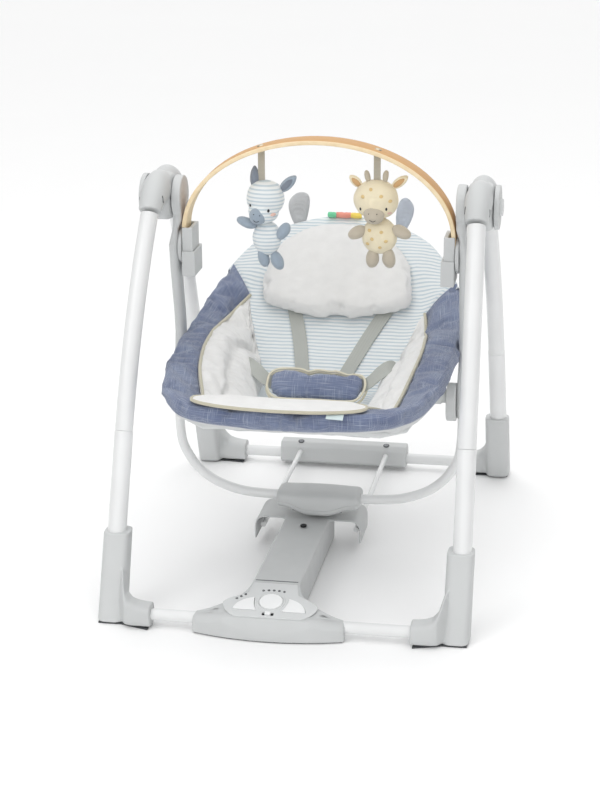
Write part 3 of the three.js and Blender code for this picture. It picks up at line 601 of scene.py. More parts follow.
def superellipse(count, power):
    """Unit ring between a circle (power 2) and a square."""
    return [tuple(math.copysign(abs(v) ** (2 / power), v) for v in pair) for pair in circle(count)]


def foot(prefix, name, sign):
    """Socket round the leg's end with a toe that holds the floor tube."""
    side, socket, seam, _ = LEGS[prefix]
    ring = superellipse(40, 3.6)

    def middle(z):
        return side * mix(socket[0], seam[0], (z - socket[1]) / (seam[1] - socket[1]))

    sleeve = [[Vector((sign * (0.2710 + a * 0.0212), middle(z) + b * mix(0.0265, 0.0200, z / 0.13), z))
               for a, b in ring] for z in (mix(0.003, 0.1305, k / 16) for k in range(17))]
    toe = []
    for x, top in FOOT_TOPS:
        half = (top - 0.003) / 2
        heights = [0.003 + half + b * half for _, b in ring]
        near_leg = smoothstep(x, 0.240, 0.262)
        toe.append([Vector((sign * x, mix(side * FLOOR_TUBE_Y, middle(z), near_leg) + a * 0.0190, z))
                    for (a, _), z in zip(ring, heights)])
    made = piece(f"{prefix}_foot_{name}_body", *joined(loft(sleeve), loft(toe)), "grey", f"{prefix}_frame",
                 "grey_plastic", 60)
    remeshed(made, 0.0013)
    softened(made, 12)
    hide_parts(f"{prefix}_foot_{name}")


LOOP_HALF = ((0.2392, 0.2416), (0.2392, 0.205), (0.235, 0.171), (0.222, 0.144), (0.206, 0.124),
             (0.180, 0.105),
             (0.141, 0.091), (0.100, 0.0865), (0.050, 0.086))


def loop_bar():
    points = [(x, -0.006, z) for x, z in LOOP_HALF] + [(-x, -0.006, z) for x, z in reversed(LOOP_HALF)]
    made = tube("loop_bar", smooth_path(points, 140), 0.008, "paint", "swing", "white_paint", 28)
    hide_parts("loop_tube")


def rigid_looks():
    """Materials and soft edges for the plastic pieces that keep their CAD shape."""
    for prefix in LEGS:
        for name, _ in SIDES:
            finish(f"{prefix}_foot_pad_{name}", "sole")
            bevelled(f"{prefix}_foot_pad_{name}")
    for name, _ in SIDES:
        for node, material, voxel in (("hub_cap", "grey", 0.001), ("fold_button", "pale", 0.001),
                                      ("swing_arm", "grey", 0.0015), ("recline_housing", "grey", 0.0012),
                                      ("bar_pivot", "grey", 0.001), ("bar_socket", "grey", 0.001),
                                      ("bar_cradle", "grey", 0.001)):
            finish(f"{node}_{name}", material)
            rounded(f"{node}_{name}", voxel, 12)
    for node, material, voxel, passes in (("base_housing", "grey", 0.0014, 22),
                                          ("brace_bracket", "grey", 0.0015, 20),
                                          ("control_panel", "pale", 0.0008, 5)):
        finish(node, material)
        rounded(node, voxel, passes)
    for node, material in (("base_bottom_cover", "dark"), ("battery_door", "dark"), ("circuit_board",
                                                                                     "board"),
                           ("drive_coil", "copper"), ("magnet", "magnet"), ("timer_switch", "white")):
        finish(node, material)
        bevelled(node)
    for node in ("power_button", "speed_button", "volume_button"):
        finish(node, "white")
        rounded(node, 0.0006, 4)
    finish("seat_frame", "pale")
    rounded("seat_frame", 0.0015, 12)


for leg in LEGS:
    leg_tubes(leg)
    for foot_name, foot_sign in SIDES:
        foot(leg, foot_name, foot_sign)
floor_tubes()
brace_rods()
loop_bar()
rigid_looks()


# ---------------------------------------------------------------- hub casings, panel marks, slots and screws
HUB_HEIGHT = 0.597


def hub_casing(prefix, name, sign, disc_radius):
    """Smooth elbow that closes over the leg's end and turns into the round hinge body."""
    top = leg_marks(prefix, sign)[2]
    curve = upper_leg_path(prefix, sign)
    direction = (curve[-1] - curve[-3]).normalized()
    low = top - direction * 0.008
    bend = low + direction * (0.050 if prefix == "front" else 0.040)
    end = Vector((sign * 0.2626, 0, HUB_HEIGHT + 0.007))
    rings = []
    for u in (i / 16 for i in range(17)):
        point = low.lerp(bend, u).lerp(bend.lerp(end, u), u)
        tangent = ((bend - low) * (1 - u) + (end - bend) * u).normalized()
        across = Vector((1, 0, 0))
        across = (across - tangent * across.dot(tangent)).normalized()
        out = tangent.cross(across)
        half_x = mix(0.0185, 0.0222, smoothstep(u, 0.0, 0.5))
        half_out = mix(0.0185, 0.0330, smoothstep(u, 0.0, 0.9))
        rings.append([point + across * (half_x * c) + out * (half_out * s) for c, s in circle(40)])
    centre, half = Vector((sign * 0.2626, 0, HUB_HEIGHT)), 0.0215
    profile = [(0.0001, half), (disc_radius - 0.009, half), (disc_radius - 0.003, half - 0.003),
               (disc_radius, half - 0.010), (disc_radius, -half + 0.010), (disc_radius - 0.003,
                                                                           -half + 0.003),
               (disc_radius - 0.009, -half), (0.0001, -half)]
    wheel = [[centre + Vector((h, r * c, r * s)) for c, s in circle(60)] for r, h in profile]
    made = piece(f"{prefix}_hub_casing_{name}", *joined(loft(rings), loft(wheel)), "grey",
                 f"{prefix}_frame",
                 "grey_plastic", 60)
    remeshed(made, 0.0013)
    softened(made, 14)
    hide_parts(f"{prefix}_hub_half_{name}")
    if prefix == "front":
        skin = BVHTree.FromPolygons([v.co for v in made.data.vertices],
                                    [p.vertices for p in made.data.polygons])
        for key, x, y, z in (("inner", -0.026, -0.074, 0.608), ("outer", 0.031, -0.070, 0.603)):
            at, facing, *_ = skin.find_nearest(Vector((sign * (0.2626 + x), y, z)))
            slot_mark(f"hub_slot_{key}_{name}", at, facing)


def slot_mark(name, at, facing):
    """Small dark moulded slot in a hub casing."""
    length = 0.0050
    facing = facing.normalized()
    across = facing.cross(Vector((0, 0, 1))).normalized()
    up = across.cross(facing)
    rings = []
    for share, lift in ((0.05, -0.0002), (0.9, -0.0002), (1.0, 0.0004), (1.25, 0.0003), (1.3, -0.0012)):
        rings.append([at + across * (0.0012 * share * c) + up * (length * share * s) + facing * lift
                      for c, s in circle(18)])
    piece(name, *loft(rings), "dark", "front_frame", "dark_plastic", 50)


PANEL = Matrix.Translation((-0.017, -0.404, 0.036)) @ Matrix.Rotation(math.atan2(24, 91), 4, "X")
LIGHT_PITCH = 0.0082
PANEL_LIGHTS = [(k * LIGHT_PITCH, 0.0700 - 7 * (k * LIGHT_PITCH) ** 2) for k in range(-2, 3)] \
    + [(-0.0486 + k * 0.0060, 0.0509 + k * 0.0055) for k in (-1, 0, 1)]


def panel_details():
    """Signal lights, the raised rim round the middle button and the sensor window."""
    out = PANEL.to_3x3() @ Vector((0, 0, 1))
    for k, (x, up) in enumerate(PANEL_LIGHTS):
        at = PANEL @ Vector((x, up, 0.0004))
        disc(f"signal_ring_{k}", at, out, [(0.0012, 0.0004), (0.0015, 0.0007), (0.0020, 0.0005),
                                           (0.0022, -0.0006),
                                           (0.0012, -0.0006), (0.0012, 0.0004)], "dark", "base",
             "dark_plastic", 20)
        disc(f"signal_light_{k}", at, out, [(0.00001, 0.0004), (0.0011, 0.0004), (0.0012, -0.0002),
                                            (0.00001, -0.0004)], "pale", "base", "pale_plastic", 18)
    centre = PANEL @ Vector((0, 0.042, 0.0004))
    disc("button_collar", centre, out, [(0.0190, 0.0002), (0.0196, 0.0011), (0.0222, 0.0010),
                                        (0.0232, 0.0001),
                                        (0.0232, -0.0008), (0.0190, -0.0008), (0.0190, 0.0002)], "pale",
         "base",
         "pale_plastic", 56)
    disc("sensor_window", (-0.016, -0.075, 0.0600), (0, -0.05, 1),
         [(0.00001, 0.0012), (0.0040, 0.0010), (0.0052, 0.0004), (0.0055, -0.002), (0.00001, -0.002)],
         "black",
         "base", "dark_plastic", 32)


def weight_shells():
    """Bulging lower shell and domed cover of the weight, parted by a wavy seam."""
    steps_across, half_ring = 48, 24
    for name, rising in (("weight_housing", False), ("weight_cover", True)):
        rings = []
        for i in range(steps_across + 1):
            x = 0.0705 * math.sin(math.pi * (i / steps_across - 0.5))
            wave = smoothstep(abs(x), 0.012, 0.060)
            seam = mix(0.0745, 0.0840, wave)
            front, back = mix(-0.0465, -0.0375, wave), 0.028
            shrink = 0.011 * (1 - math.sqrt(max(0.0, 1 - max(0.0, (abs(x) - 0.0595) / 0.0111) ** 2)))
            reach = (mix(0.1035, 0.1000, wave) - seam if rising else seam - mix(0.0600, 0.0700,
                                                                                wave)) - shrink * 0.5
            middle, half = (front + back) / 2, (back - front) / 2 - shrink - 0.0004
            power = 3.4 if rising else 2.6
            ring = []
            for k in range(half_ring + 1):
                a = math.pi * k / half_ring
                across = math.copysign(abs(math.cos(a)) ** (2 / power), math.cos(a))
                lift = max(0.0, math.sin(a)) ** (2 / power)
                ring.append(Vector((x, middle + half * across,
                                    seam + (0.0002 + reach * lift if rising else -0.0002 - reach * lift))))
            rings.append(ring)
        shell = piece(f"{name}_shell", *loft(rings), "grey", "swing", "grey_plastic", 50)
        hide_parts(name)


def base_shell():
    """The base with its nose rounded off to low ends."""
    source = nodes["base_housing"]
    skin = baked(source)
    skin.transform(source.matrix_world)
    vertices = []
    for vertex in skin.vertices:
        x, y, z = vertex.co
        off = (x - PANEL.translation.x) / 0.119
        inside = y - (-0.414 + 0.018 * off * off)
        if y < -0.340 and z > 0.012:
            radius = 0.013
            crown = mix(0.0385, 0.0300, smoothstep(abs(off), 0.45, 1.0)) + max(0.0, inside - 0.02) * 0.26
            edge = max(0.0, radius - inside)
            crown -= radius - math.sqrt(max(0.0, radius * radius - edge * edge))
            tip = max(0.0, abs(off) * 0.119 - 0.113)
            crown -= 0.006 - math.sqrt(max(0.0, 0.000036 - tip * tip))
            z = min(z, max(0.012, crown))
        vertices.append((x, y, z))
    made = piece("base_shell", vertices, [tuple(p.vertices) for p in skin.polygons], "grey", "base",
                 "grey_plastic", 180)
    softened(made, 8)
    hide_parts("base_housing")
    seam = [PANEL @ Vector((x, 0.0945, 0.0002)) for x in (-0.034, 0.0, 0.034)]
    tube("panel_seam", seam, 0.0005, "dark", "base", "dark_plastic", 8)


for casing in LEGS:
    for hub_name, hub_sign in SIDES:
        hub_casing(casing, hub_name, hub_sign, 0.0394 if casing == "front" else 0.0388)
panel_details()
weight_shells()
base_shell()


# ---------------------------------------------------------------- seat surface
RIM_HALF = ((0.060, -0.344, 0.346), (0.150, -0.322, 0.347), (0.198, -0.262, 0.350), (0.219, -0.180, 0.353),
            (0.227, -0.085, 0.357), (0.228, 0.015, 0.362), (0.222, 0.115, 0.378), (0.204, 0.212, 0.412),
            (0.152, 0.272, 0.462), (0.080, 0.303, 0.488))
RIM = [Vector(p) for p in ((0, -0.347, 0.346), *RIM_HALF, (0, 0.315, 0.498),
                           *((-x, y, z) for x, y, z in reversed(RIM_HALF)))]
SPINE = [Vector((0, y, z)) for y, z in ((-0.347, 0.346), (-0.292, 0.342), (-0.235, 0.308), (-0.165, 0.277),
                                        (-0.080, 0.256), (0.010, 0.254), (0.070, 0.284), (0.150, 0.353),
                                        (0.230, 0.423), (0.315, 0.498))]
SEAT_CENTRE_Y = -0.005
RIGHT_CORNER, LEFT_CORNER = 0.362, 0.375    # shares of the rim, each way, that the blue border covers


def rim_point(t):
    """Point on the rim; t runs once round from 0 at the front centre, right side first."""
    count = len(RIM)
    i = int(math.floor(t * count)) % count
    u = t * count - math.floor(t * count)
    return between(*(RIM[(i + k) % count] for k in (-1, 0, 1, 2)), u)


SPINE_TABLE = [along(SPINE, i / 400) for i in range(401)]
SPINE_RUN = [0.0]
for before, after in zip(SPINE_TABLE, SPINE_TABLE[1:]):
    SPINE_RUN.append(SPINE_RUN[-1] + (after - before).length)


def spine_at(y):
    """Height and distance along the seat's middle line at y."""
    low, high = 0, 400
    while high - low > 1:
        middle = (low + high) // 2
        if SPINE_TABLE[middle].y < y:
            low = middle
        else:
            high = middle
    a, b = SPINE_TABLE[low], SPINE_TABLE[high]
    u = min(1.0, max(0.0, (y - a.y) / (b.y - a.y)))
    return mix(a.z, b.z, u), mix(SPINE_RUN[low], SPINE_RUN[high], u)


def seat_point(t, f, drop=0.0):
    """Point on the seat's upper surface, f of the way from the middle to the rim."""
    rim = rim_point(t)
    y = mix(SEAT_CENTRE_Y, rim.y, f)
    beside = smoothstep(rim.y, 0.060, 0.180)
    rise = smoothstep(f, mix(0.32, 0.56, beside), mix(0.80, 0.87, beside))
    wall = (rim.z - spine_at(rim.y)[0]) * rise
    return Vector((rim.x * f, y, spine_at(y)[0] + wall - drop))


def seat_normal(t, f):
    step = 0.004
    around = seat_point(t + step, f) - seat_point(t - step, f)
    outwards = seat_point(t, f + step) - seat_point(t, f - step)
    normal = outwards.cross(around).normalized()
    return normal if normal.z > 0 else -normal


def piping_share(t):
    """How far out the piping runs: it is closest in at the front corners."""
    right, left = ([Vector((v, 0, 0)) for v in row]
                   for row in ((0.885, 0.885, 0.87, 0.79, 0.765, 0.770, 0.765, 0.760, 0.765),
                               (0.885, 0.885, 0.865, 0.785, 0.795, 0.805, 0.805, 0.815, 0.785)))
    if t < 0.5:
        return along(right, min(1.0, t / LEFT_CORNER)).x
    return along(left, min(1.0, (1 - t) / LEFT_CORNER)).x


def stripe_share(t):
    """How far out the striped middle reaches: straight sides that flare towards the backrest."""
    low, high = 0.05, piping_share(t)
    for _ in range(16):
        middle = (low + high) / 2
        p = seat_point(t, middle)
        edge = 0.095 + 0.007 * smoothstep(p.y, -0.1, -0.02) + 0.052 * smoothstep(p.y, 0.02, 0.19)
        if abs(p.x) < edge and p.y > -0.2:
            low = middle
        else:
            high = middle
    return low


# ---------------------------------------------------------------- soft goods: shells, stuffing and seams
PERIMETER, REACH = 1.9, 0.32          # metres round the rim and out to it, for the flat cloth coordinates


def shell(name, shares, section, material):
    """Closed soft form: section(t) gives a loop of (point, cloth coordinate) at each share t of the rim."""
    rings, flat = [], []
    for t in shares:
        loop = section(t)
        rings.append([p for p, _ in loop])
        flat += [w for _, w in loop]
    slot = "white_fabric" if material == "quilt" else "blue_fabric"
    return piece(name, *loft(rings), material, "seat", slot, sharp=80, weave=flat)


def tufted(t, f, lift, pucker=0.0):
    """Point standing lift off the seat surface, with the small pleats that sewing leaves."""
    pleat = noise.noise(Vector((t * PERIMETER * 75, f * 9, 4.0))) * pucker
    slack = noise.noise(Vector((t * PERIMETER * 17, f * 7, 9.0))) * pucker * 0.8
    return seat_point(t, f) + seat_normal(t, f) * (lift + pleat + slack)


def flat_at(t, f):
    return (t * PERIMETER, f * REACH)


def relax(obj, free, cap, pressure=3.0, grow=0.04):
    """Cloth simulation of the free vertices, blown up between the sewn ones, capped and applied."""
    start = [v.co.copy() for v in obj.data.vertices]
    group = obj.vertex_groups.new(name="sewn")
    group.add([i for i in range(len(start)) if not free(i)], 1.0, "REPLACE")
    cloth = obj.modifiers.new("Cloth", "CLOTH")
    settings = cloth.settings
    settings.quality = 5
    settings.mass = 0.3
    settings.tension_stiffness = settings.compression_stiffness = 12
    settings.shear_stiffness = 4
    settings.bending_stiffness = 0.15
    settings.vertex_group_mass = "sewn"
    settings.shrink_min = settings.shrink_max = -grow
    settings.use_pressure = True
    settings.uniform_pressure_force = pressure
    settings.effector_weights.gravity = 0
    cloth.collision_settings.use_collision = False
    scene = bpy.context.scene
    for step in range(1, 21):
        scene.frame_set(step)
    done = obj.evaluated_get(bpy.context.evaluated_depsgraph_get()).data
    moved = [v.co.copy() for v in done.vertices]
    obj.modifiers.clear()
    obj.vertex_groups.clear()
    for vertex, before, after in zip(obj.data.vertices, start, moved):
        shift = after - before
        vertex.co = before + shift * min(1.0, cap / max(shift.length, 1e-9))
    scene.frame_set(1)


def refined(obj):
    """One round of subdivision, applied."""
    modifier = obj.modifiers.new("Refine", "SUBSURF")
    modifier.levels = modifier.render_levels = 1
    applied(obj)
    shaded_smooth(obj)


def stitched(obj, path, depth, width, pleat=0.35, pitch=0.011, facing=None):
    """Sewn channel along a path: the skin sinks towards the seam, with pleats running into it."""
    run = [0.0]
    for a, b in zip(path, path[1:]):
        run.append(run[-1] + (b - a).length)
    normals = [v.normal.copy() for v in obj.data.vertices]
    for vertex, normal in zip(obj.data.vertices, normals):
        if facing and normal.dot(facing) < 0.15:
            continue
        nearest = min(range(len(path)), key=lambda k: (path[k] - vertex.co).length_squared)
        away = (path[nearest] - vertex.co).length
        if away > width * 5:
            continue
        sink = depth * math.exp(-(away / width) ** 2)
        crease = depth * pleat * math.exp(-(away / (width * 2.6)) ** 2)
        wave = noise.noise(Vector((run[nearest] / pitch, 3.0, depth * 1000)))
        vertex.co -= normal * (sink + crease * wave)


def weave_from(obj, across, upward):
    """Flat cloth coordinates by projection, for a piece whose mesh was made anew."""
    layer = obj.data.attributes.new("weave", "FLOAT_VECTOR", "POINT")
    layer.data.foreach_set("vector", [c for v in obj.data.vertices
                                      for c in (v.co.dot(across), v.co.dot(upward), 0.0)])


# ---------------------------------------------------------------- seat
SEWN_STEP = 0.0022                    # share of the rim between columns, about 4 mm


def steps(start, end, step):
    count = max(2, round(abs(end - start) / step))
    return [mix(start, end, i / count) for i in range(count + 1)]


def roll_section(t, inner, crown, rows, pucker):
    """Padded rim: over the top from the inner seam, round the edge and back underneath."""
    loop = []
    for i in range(rows + 1):
        u = i / rows
        f = mix(inner, 0.985, u)
        rise = math.sin(math.pi * min(0.5, u)) ** 0.6
        fall = 1 - 0.45 * smoothstep(u, 0.55, 1.0)
        loop.append((tufted(t, f, crown * rise * fall - 0.0005, pucker * (1 - 0.5 * u)), flat_at(t, f)))
    for f, drop in ((0.998, 0.0015), (1.008, 0.008), (1.008, 0.016), (0.998, 0.023), (0.982, 0.0265)):
        bump = noise.noise(Vector((t * PERIMETER * 34, drop * 60, 2.0))) * pucker
        loop.append((seat_point(t, f + bump / 0.2, drop), (t * PERIMETER, f * REACH + drop)))
    for f in (0.95, mix(inner, 0.95, 0.5), inner + 0.012):
        loop.append((seat_point(t, f, 0.021), flat_at(t, f)))
    return loop


def border():
    shares = steps(-LEFT_CORNER, RIGHT_CORNER, SEWN_STEP)
    rows = 13

    def section(t):
        end = smoothstep(RIGHT_CORNER - t if t > 0 else LEFT_CORNER + t, 0.0, 0.012)
        return roll_section(t % 1, piping_share(t % 1), mix(0.0062, 0.0080, end), rows, 0.0008)

    made = shell("seat_border", shares, section, "blue")
    loop = rows + 9
    ends = loop * (len(shares) - 1)
    relax(made, lambda i: 1 <= i % loop <= rows + 3 and loop <= i < ends, 0.006, 2.0, 0.05)
    return made


def centre_panel():
    """Striped middle of the seat, which runs on behind over the back rim."""
    columns, rows, inner_rows = 260, 34, 14
    shares = [i / columns for i in range(columns)]
    back = [k for k, t in enumerate(shares) if RIGHT_CORNER - 0.008 < t < 1.008 - LEFT_CORNER]
    vertices, flat, faces = [], [], []

    def add(point):
        vertices.append(point)
        flat.append((point.x, spine_at(point.y)[1]))

    for row in range(rows + 1):
        u = max(0.01, row / rows)
        for k, t in enumerate(shares):
            behind = k in back
            point = seat_point(t, u * (piping_share(t) if behind else stripe_share(t) + 0.03))
            tuck = 0 if behind else 0.006 * smoothstep(u, 0.94, 1.0)
            crease = noise.noise(Vector((point.x * 14, point.y * 46, 1.5))) \
                + 0.6 * noise.noise(Vector((point.x * 60, point.y * 30, 5.5)))
            add(point + Vector((0, 0, 0.0012 - tuck + 0.0011 * crease)))
    for row in range(rows):
        for k in range(columns):
            j = (k + 1) % columns
            faces.append((row * columns + k, row * columns + j, (row + 1) * columns + j,
                          (row + 1) * columns + k))
    faces.append(tuple(range(columns)))
    above = [rows * columns + k for k in back]
    for row in range(1, inner_rows + 6):
        start = len(vertices)
        for k in back:
            t = shares[k]
            if row <= inner_rows:
                u = row / inner_rows
                f = mix(piping_share(t), 0.985, u)
                crown = 0.0055 * smoothstep(u, 0, 0.5) * (1 - 0.4 * smoothstep(u, 0.6, 1))
                add(tufted(t, f, 0.0012 + crown, 0.0006))
                hidden = t < RIGHT_CORNER or t > 1 - LEFT_CORNER
                vertices[-1] = vertices[-1] - seat_normal(t, f) * (0.006 if hidden else 0)
            else:
                f, drop = ((0.998, 0.0015), (1.008, 0.008), (1.008, 0.016), (0.998, 0.023),
                           (0.982, 0.0265))[row - inner_rows - 1]
                add(seat_point(t, f, drop))
                flat[-1] = (flat[-1][0], flat[-1][1] + drop)
        below = list(range(start, len(vertices)))
        faces += [(above[i], above[i + 1], below[i + 1], below[i]) for i in range(len(back) - 1)]
        above = below
    made = piece("seat_centre", vertices, faces, "stripe", "seat", "blue_fabric", sharp=80, weave=flat)
    return made


def bolster_seam(t):
    """Share of a bolster's width where its middle seam runs."""
    y = seat_point(t, 0.7).y
    return 0.56 - 0.22 * smoothstep(y, 0.0, 0.11)


def bolsters():
    """White side bolsters with a seam down the middle, meeting under the front flap."""
    rows = 22
    loop_size = rows + 1 + 3

    def section(t):
        s = t % 1
        low, high = stripe_share(s) - 0.004, piping_share(s) + 0.006
        seam = bolster_seam(s)
        taper = smoothstep(RIGHT_CORNER - t if t > 0 else LEFT_CORNER + t, 0.0, 0.03)
        loop = []
        for i in range(rows + 1):
            u = i / rows
            dip = math.exp(-((u - seam) / 0.07) ** 2)
            edge = max(0.0, math.sin(math.pi * u)) ** 0.45
            lift = (0.009 * edge - 0.006 * dip) * mix(0.25, 1, taper) + 0.0015
            f = mix(low, high, u)
            loop.append((tufted(s, f, lift, 0.0009 * taper), flat_at(t, f)))
        for u in (0.9, 0.5, 0.1):
            f = mix(low, high, u)
            loop.append((seat_point(s, f, 0.011), flat_at(t, f)))
        return loop

    shares = steps(-LEFT_CORNER, RIGHT_CORNER, SEWN_STEP)
    made = shell("seat_bolsters", shares, section, "quilt")

    def free(i):
        k, column = i % loop_size, i // loop_size
        seam_row = round(bolster_seam(shares[column] % 1) * rows)
        return 0 < k < rows and abs(k - seam_row) > 0 and 2 < column < len(shares) - 3

    relax(made, free, 0.006, 2.5, 0.06)
    return made


def seat_piping():
    path = []
    for t in steps(-LEFT_CORNER, RIGHT_CORNER, SEWN_STEP):
        f = piping_share(t % 1)
        path.append(seat_point(t % 1, f) + seat_normal(t % 1, f) * 0.0042)
    return tube("seat_piping", path, 0.0027, "piping", "seat", "blue_fabric", 12)


def under_cover():
    """Grey fabric under the seat, gathered towards the rim."""
    shares = [i / 200 for i in range(200)]
    rings = []
    for f, drop, gather in ((0.02, 0.024, 0), (0.35, 0.025, 0.001), (0.62, 0.026, 0.002), (0.80, 0.028,
                                                                                           0.003),
                            (0.90, 0.031, 0.003), (0.955, 0.032, 0.002), (0.985, 0.027, 0.001),
                            (0.99, 0.020, 0),
                            (0.93, 0.0155, 0), (0.80, 0.0155, 0), (0.4, 0.015, 0), (0.02, 0.015, 0)):
        rings.append([seat_point(t, f, drop + gather * noise.noise(Vector((t * PERIMETER * 26, f * 3, 7))))
                      for t in shares])
    made = piece("seat_under_cover", *loft(rings), "under", "seat", "white_fabric", sharp=80)
    return made


for sewn in (border(), centre_panel(), bolsters(), seat_piping(), under_cover()):
    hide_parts("seat_pad")


# ---------------------------------------------------------------- seat: flap, pillow, harness
STRAP_WIDTH = 0.0235


def closed_curve(points, count):
    """Smooth closed outline through the points."""
    vectors = [Vector((a, b, 0)) for a, b in points]
    size = len(vectors)
    ring = []
    for i in range(count):
        k, u = int(i * size / count), i * size / count % 1
        ring.append(between(*(vectors[(k + j) % size] for j in (-1, 0, 1, 2)), u))
    return ring


def cushion(name, outline, place, top, bottom, material, body, slot, fullness, rings, count):
    """Padded flat form: crowned top and bottom inside a smooth outline, placed by a matrix."""
    ring = closed_curve(outline, count)
    middle = sum(ring, Vector()) / count
    loops = []
    for side, height in ((1, top), (-1, bottom)):
        shares = [max(0.03, k / rings) for k in range(rings + 1)]
        for share in (shares if side > 0 else shares[::-1]):
            crown = side * height * max(0.0, 1 - share ** 3) ** fullness
            loops.append([place @ (middle.lerp(p, share) + Vector((0, 0, crown))) for p in ring])
    return piece(name, *loft(loops), material, body, slot, sharp=85)


def outline_cord(name, outline, place, height, grow, radius, material, slot):
    """Piping sewn round an outline."""
    count = 120
    ring = closed_curve(outline, count)
    middle = sum(ring, Vector()) / count
    path = [place @ (p + (p - middle).normalized() * grow + Vector((0, 0, height))) for p in ring]
    rings = []
    for i, point in enumerate(path):
        tangent = (path[(i + 1) % count] - path[i - 1]).normalized()
        up = (place.to_3x3() @ Vector((0, 0, 1))).normalized()
        side = tangent.cross(up).normalized()
        rings.append([point + side * (radius * c) + up * (radius * s) for c, s in circle(10)])
    return piece(name, *loft(rings, True), material, "seat", slot, sharp=60)


def inflate(obj, voxel, pressure, cap):
    """Remesh, blow up as cloth, cap the movement and refine: the way a stuffed piece gets its shape."""
    remeshed(obj, voxel)
    relax(obj, lambda i: True, cap, pressure, 0.03)
    refined(obj)


def plane(origin, across, upward):
    """Matrix that lays flat coordinates in a plane at origin."""
    across, upward = Vector(across).normalized(), Vector(upward).normalized()
    out = across.cross(upward)
    made = Matrix((across, upward, out)).transposed().to_4x4()
    made.translation = Vector(origin)
    return made


def front_flap():
    """Soft flap that lies over the front edge, with piping round it and a small tag under it."""
    count = 44
    middle_x, half_length, half_width = -0.0115, 0.1350, 0.0215
    outline = []
    for k in range(count):
        a = 2 * math.pi * k / count
        x = middle_x + half_length * math.copysign(abs(math.cos(a)) ** 0.55, math.cos(a))
        y = -0.3295 + half_width * math.copysign(abs(math.sin(a)) ** 0.75, -math.sin(a))
        outline.append((x, y + 0.75 * x * x))
    place = Matrix.Translation((0, 0, 0.3565))
    pad = cushion("front_flap", outline, place, 0.007, 0.005, "quilt", "seat", "white_fabric", 0.4, 8, 120)
    for vertex in pad.data.vertices:
        lump = noise.noise(Vector((vertex.co.x * 30, vertex.co.y * 60, 3.3))) * 0.0012
        vertex.co.z += lump - 0.05 * max(0.0, -vertex.co.y - 0.325)
    cord = outline_cord("front_flap_piping", outline, place, -0.0006, 0.0008, 0.0026, "piping",
                        "white_fabric")
    for vertex in cord.data.vertices:
        vertex.co.z -= 0.05 * max(0.0, -vertex.co.y - 0.325)
    tag_path = [Vector((0.080, y, z)) for y, z in ((-0.330, 0.3525), (-0.342, 0.3515), (-0.350, 0.3490),
                                                   (-0.3530, 0.3470))]
    ribbon("tag", tag_path, [Vector((1, 0.10, 0))] * 4, 0.026, 0.0009, "teal", "seat", "white_fabric")


def head_pillow():
    """Plush head pillow with a sewn half-moon in its lower middle."""
    place = plane((0, 0.150, 0.353), (1, 0, 0), (0, 165, 145))
    outline = [(-0.131, 0.026), (-0.137, 0.078), (-0.126, 0.130), (-0.103, 0.162), (-0.062, 0.185),
               (-0.018, 0.193), (0.041, 0.186), (0.086, 0.163), (0.116, 0.131), (0.134, 0.082),
               (0.138, 0.034),
               (0.122, 0.014), (0.078, -0.001), (0.036, -0.011), (0.006, -0.006), (-0.022, -0.012),
               (-0.058, -0.007), (-0.108, 0.009)]
    pad = cushion("head_pillow_soft", outline, place @ Matrix.Translation((0, 0, 0.012)), 0.017, 0.009,
                  "plush",
                  "seat", "white_fabric", 0.5, 16, 120)
    inflate(pad, 0.005, 3.0, 0.006)
    out = place.to_3x3() @ Vector((0, 0, 1))
    arch = [(-0.071, -0.012), (-0.070, 0.020), (-0.066, 0.060), (-0.052, 0.090), (-0.022, 0.108),
            (0.016, 0.108),
            (0.044, 0.090), (0.060, 0.062), (0.068, 0.030), (0.071, -0.012)]
    seam = [place @ Vector((a.x, a.y, 0.026)) for a in smooth_path([(x, y, 0) for x, y in arch], 150)]
    stitched(pad, seam, 0.0036, 0.0035, 0.45, 0.010, out)
    fold = [place @ Vector((a.x, a.y, 0.024)) for a in
            smooth_path([(0.004, -0.010, 0), (0.014, 0.010, 0), (0.026, 0.030, 0), (0.036, 0.046, 0)], 40)]
    stitched(pad, fold, 0.0022, 0.004, 0.2, 0.012, out)
    rim = [place @ (p + Vector((0, 0, 0.011))) for p in closed_curve(outline, 240)]
    stitched(pad, rim, 0.0022, 0.0022, 0.5, 0.007)
    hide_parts("head_pillow")


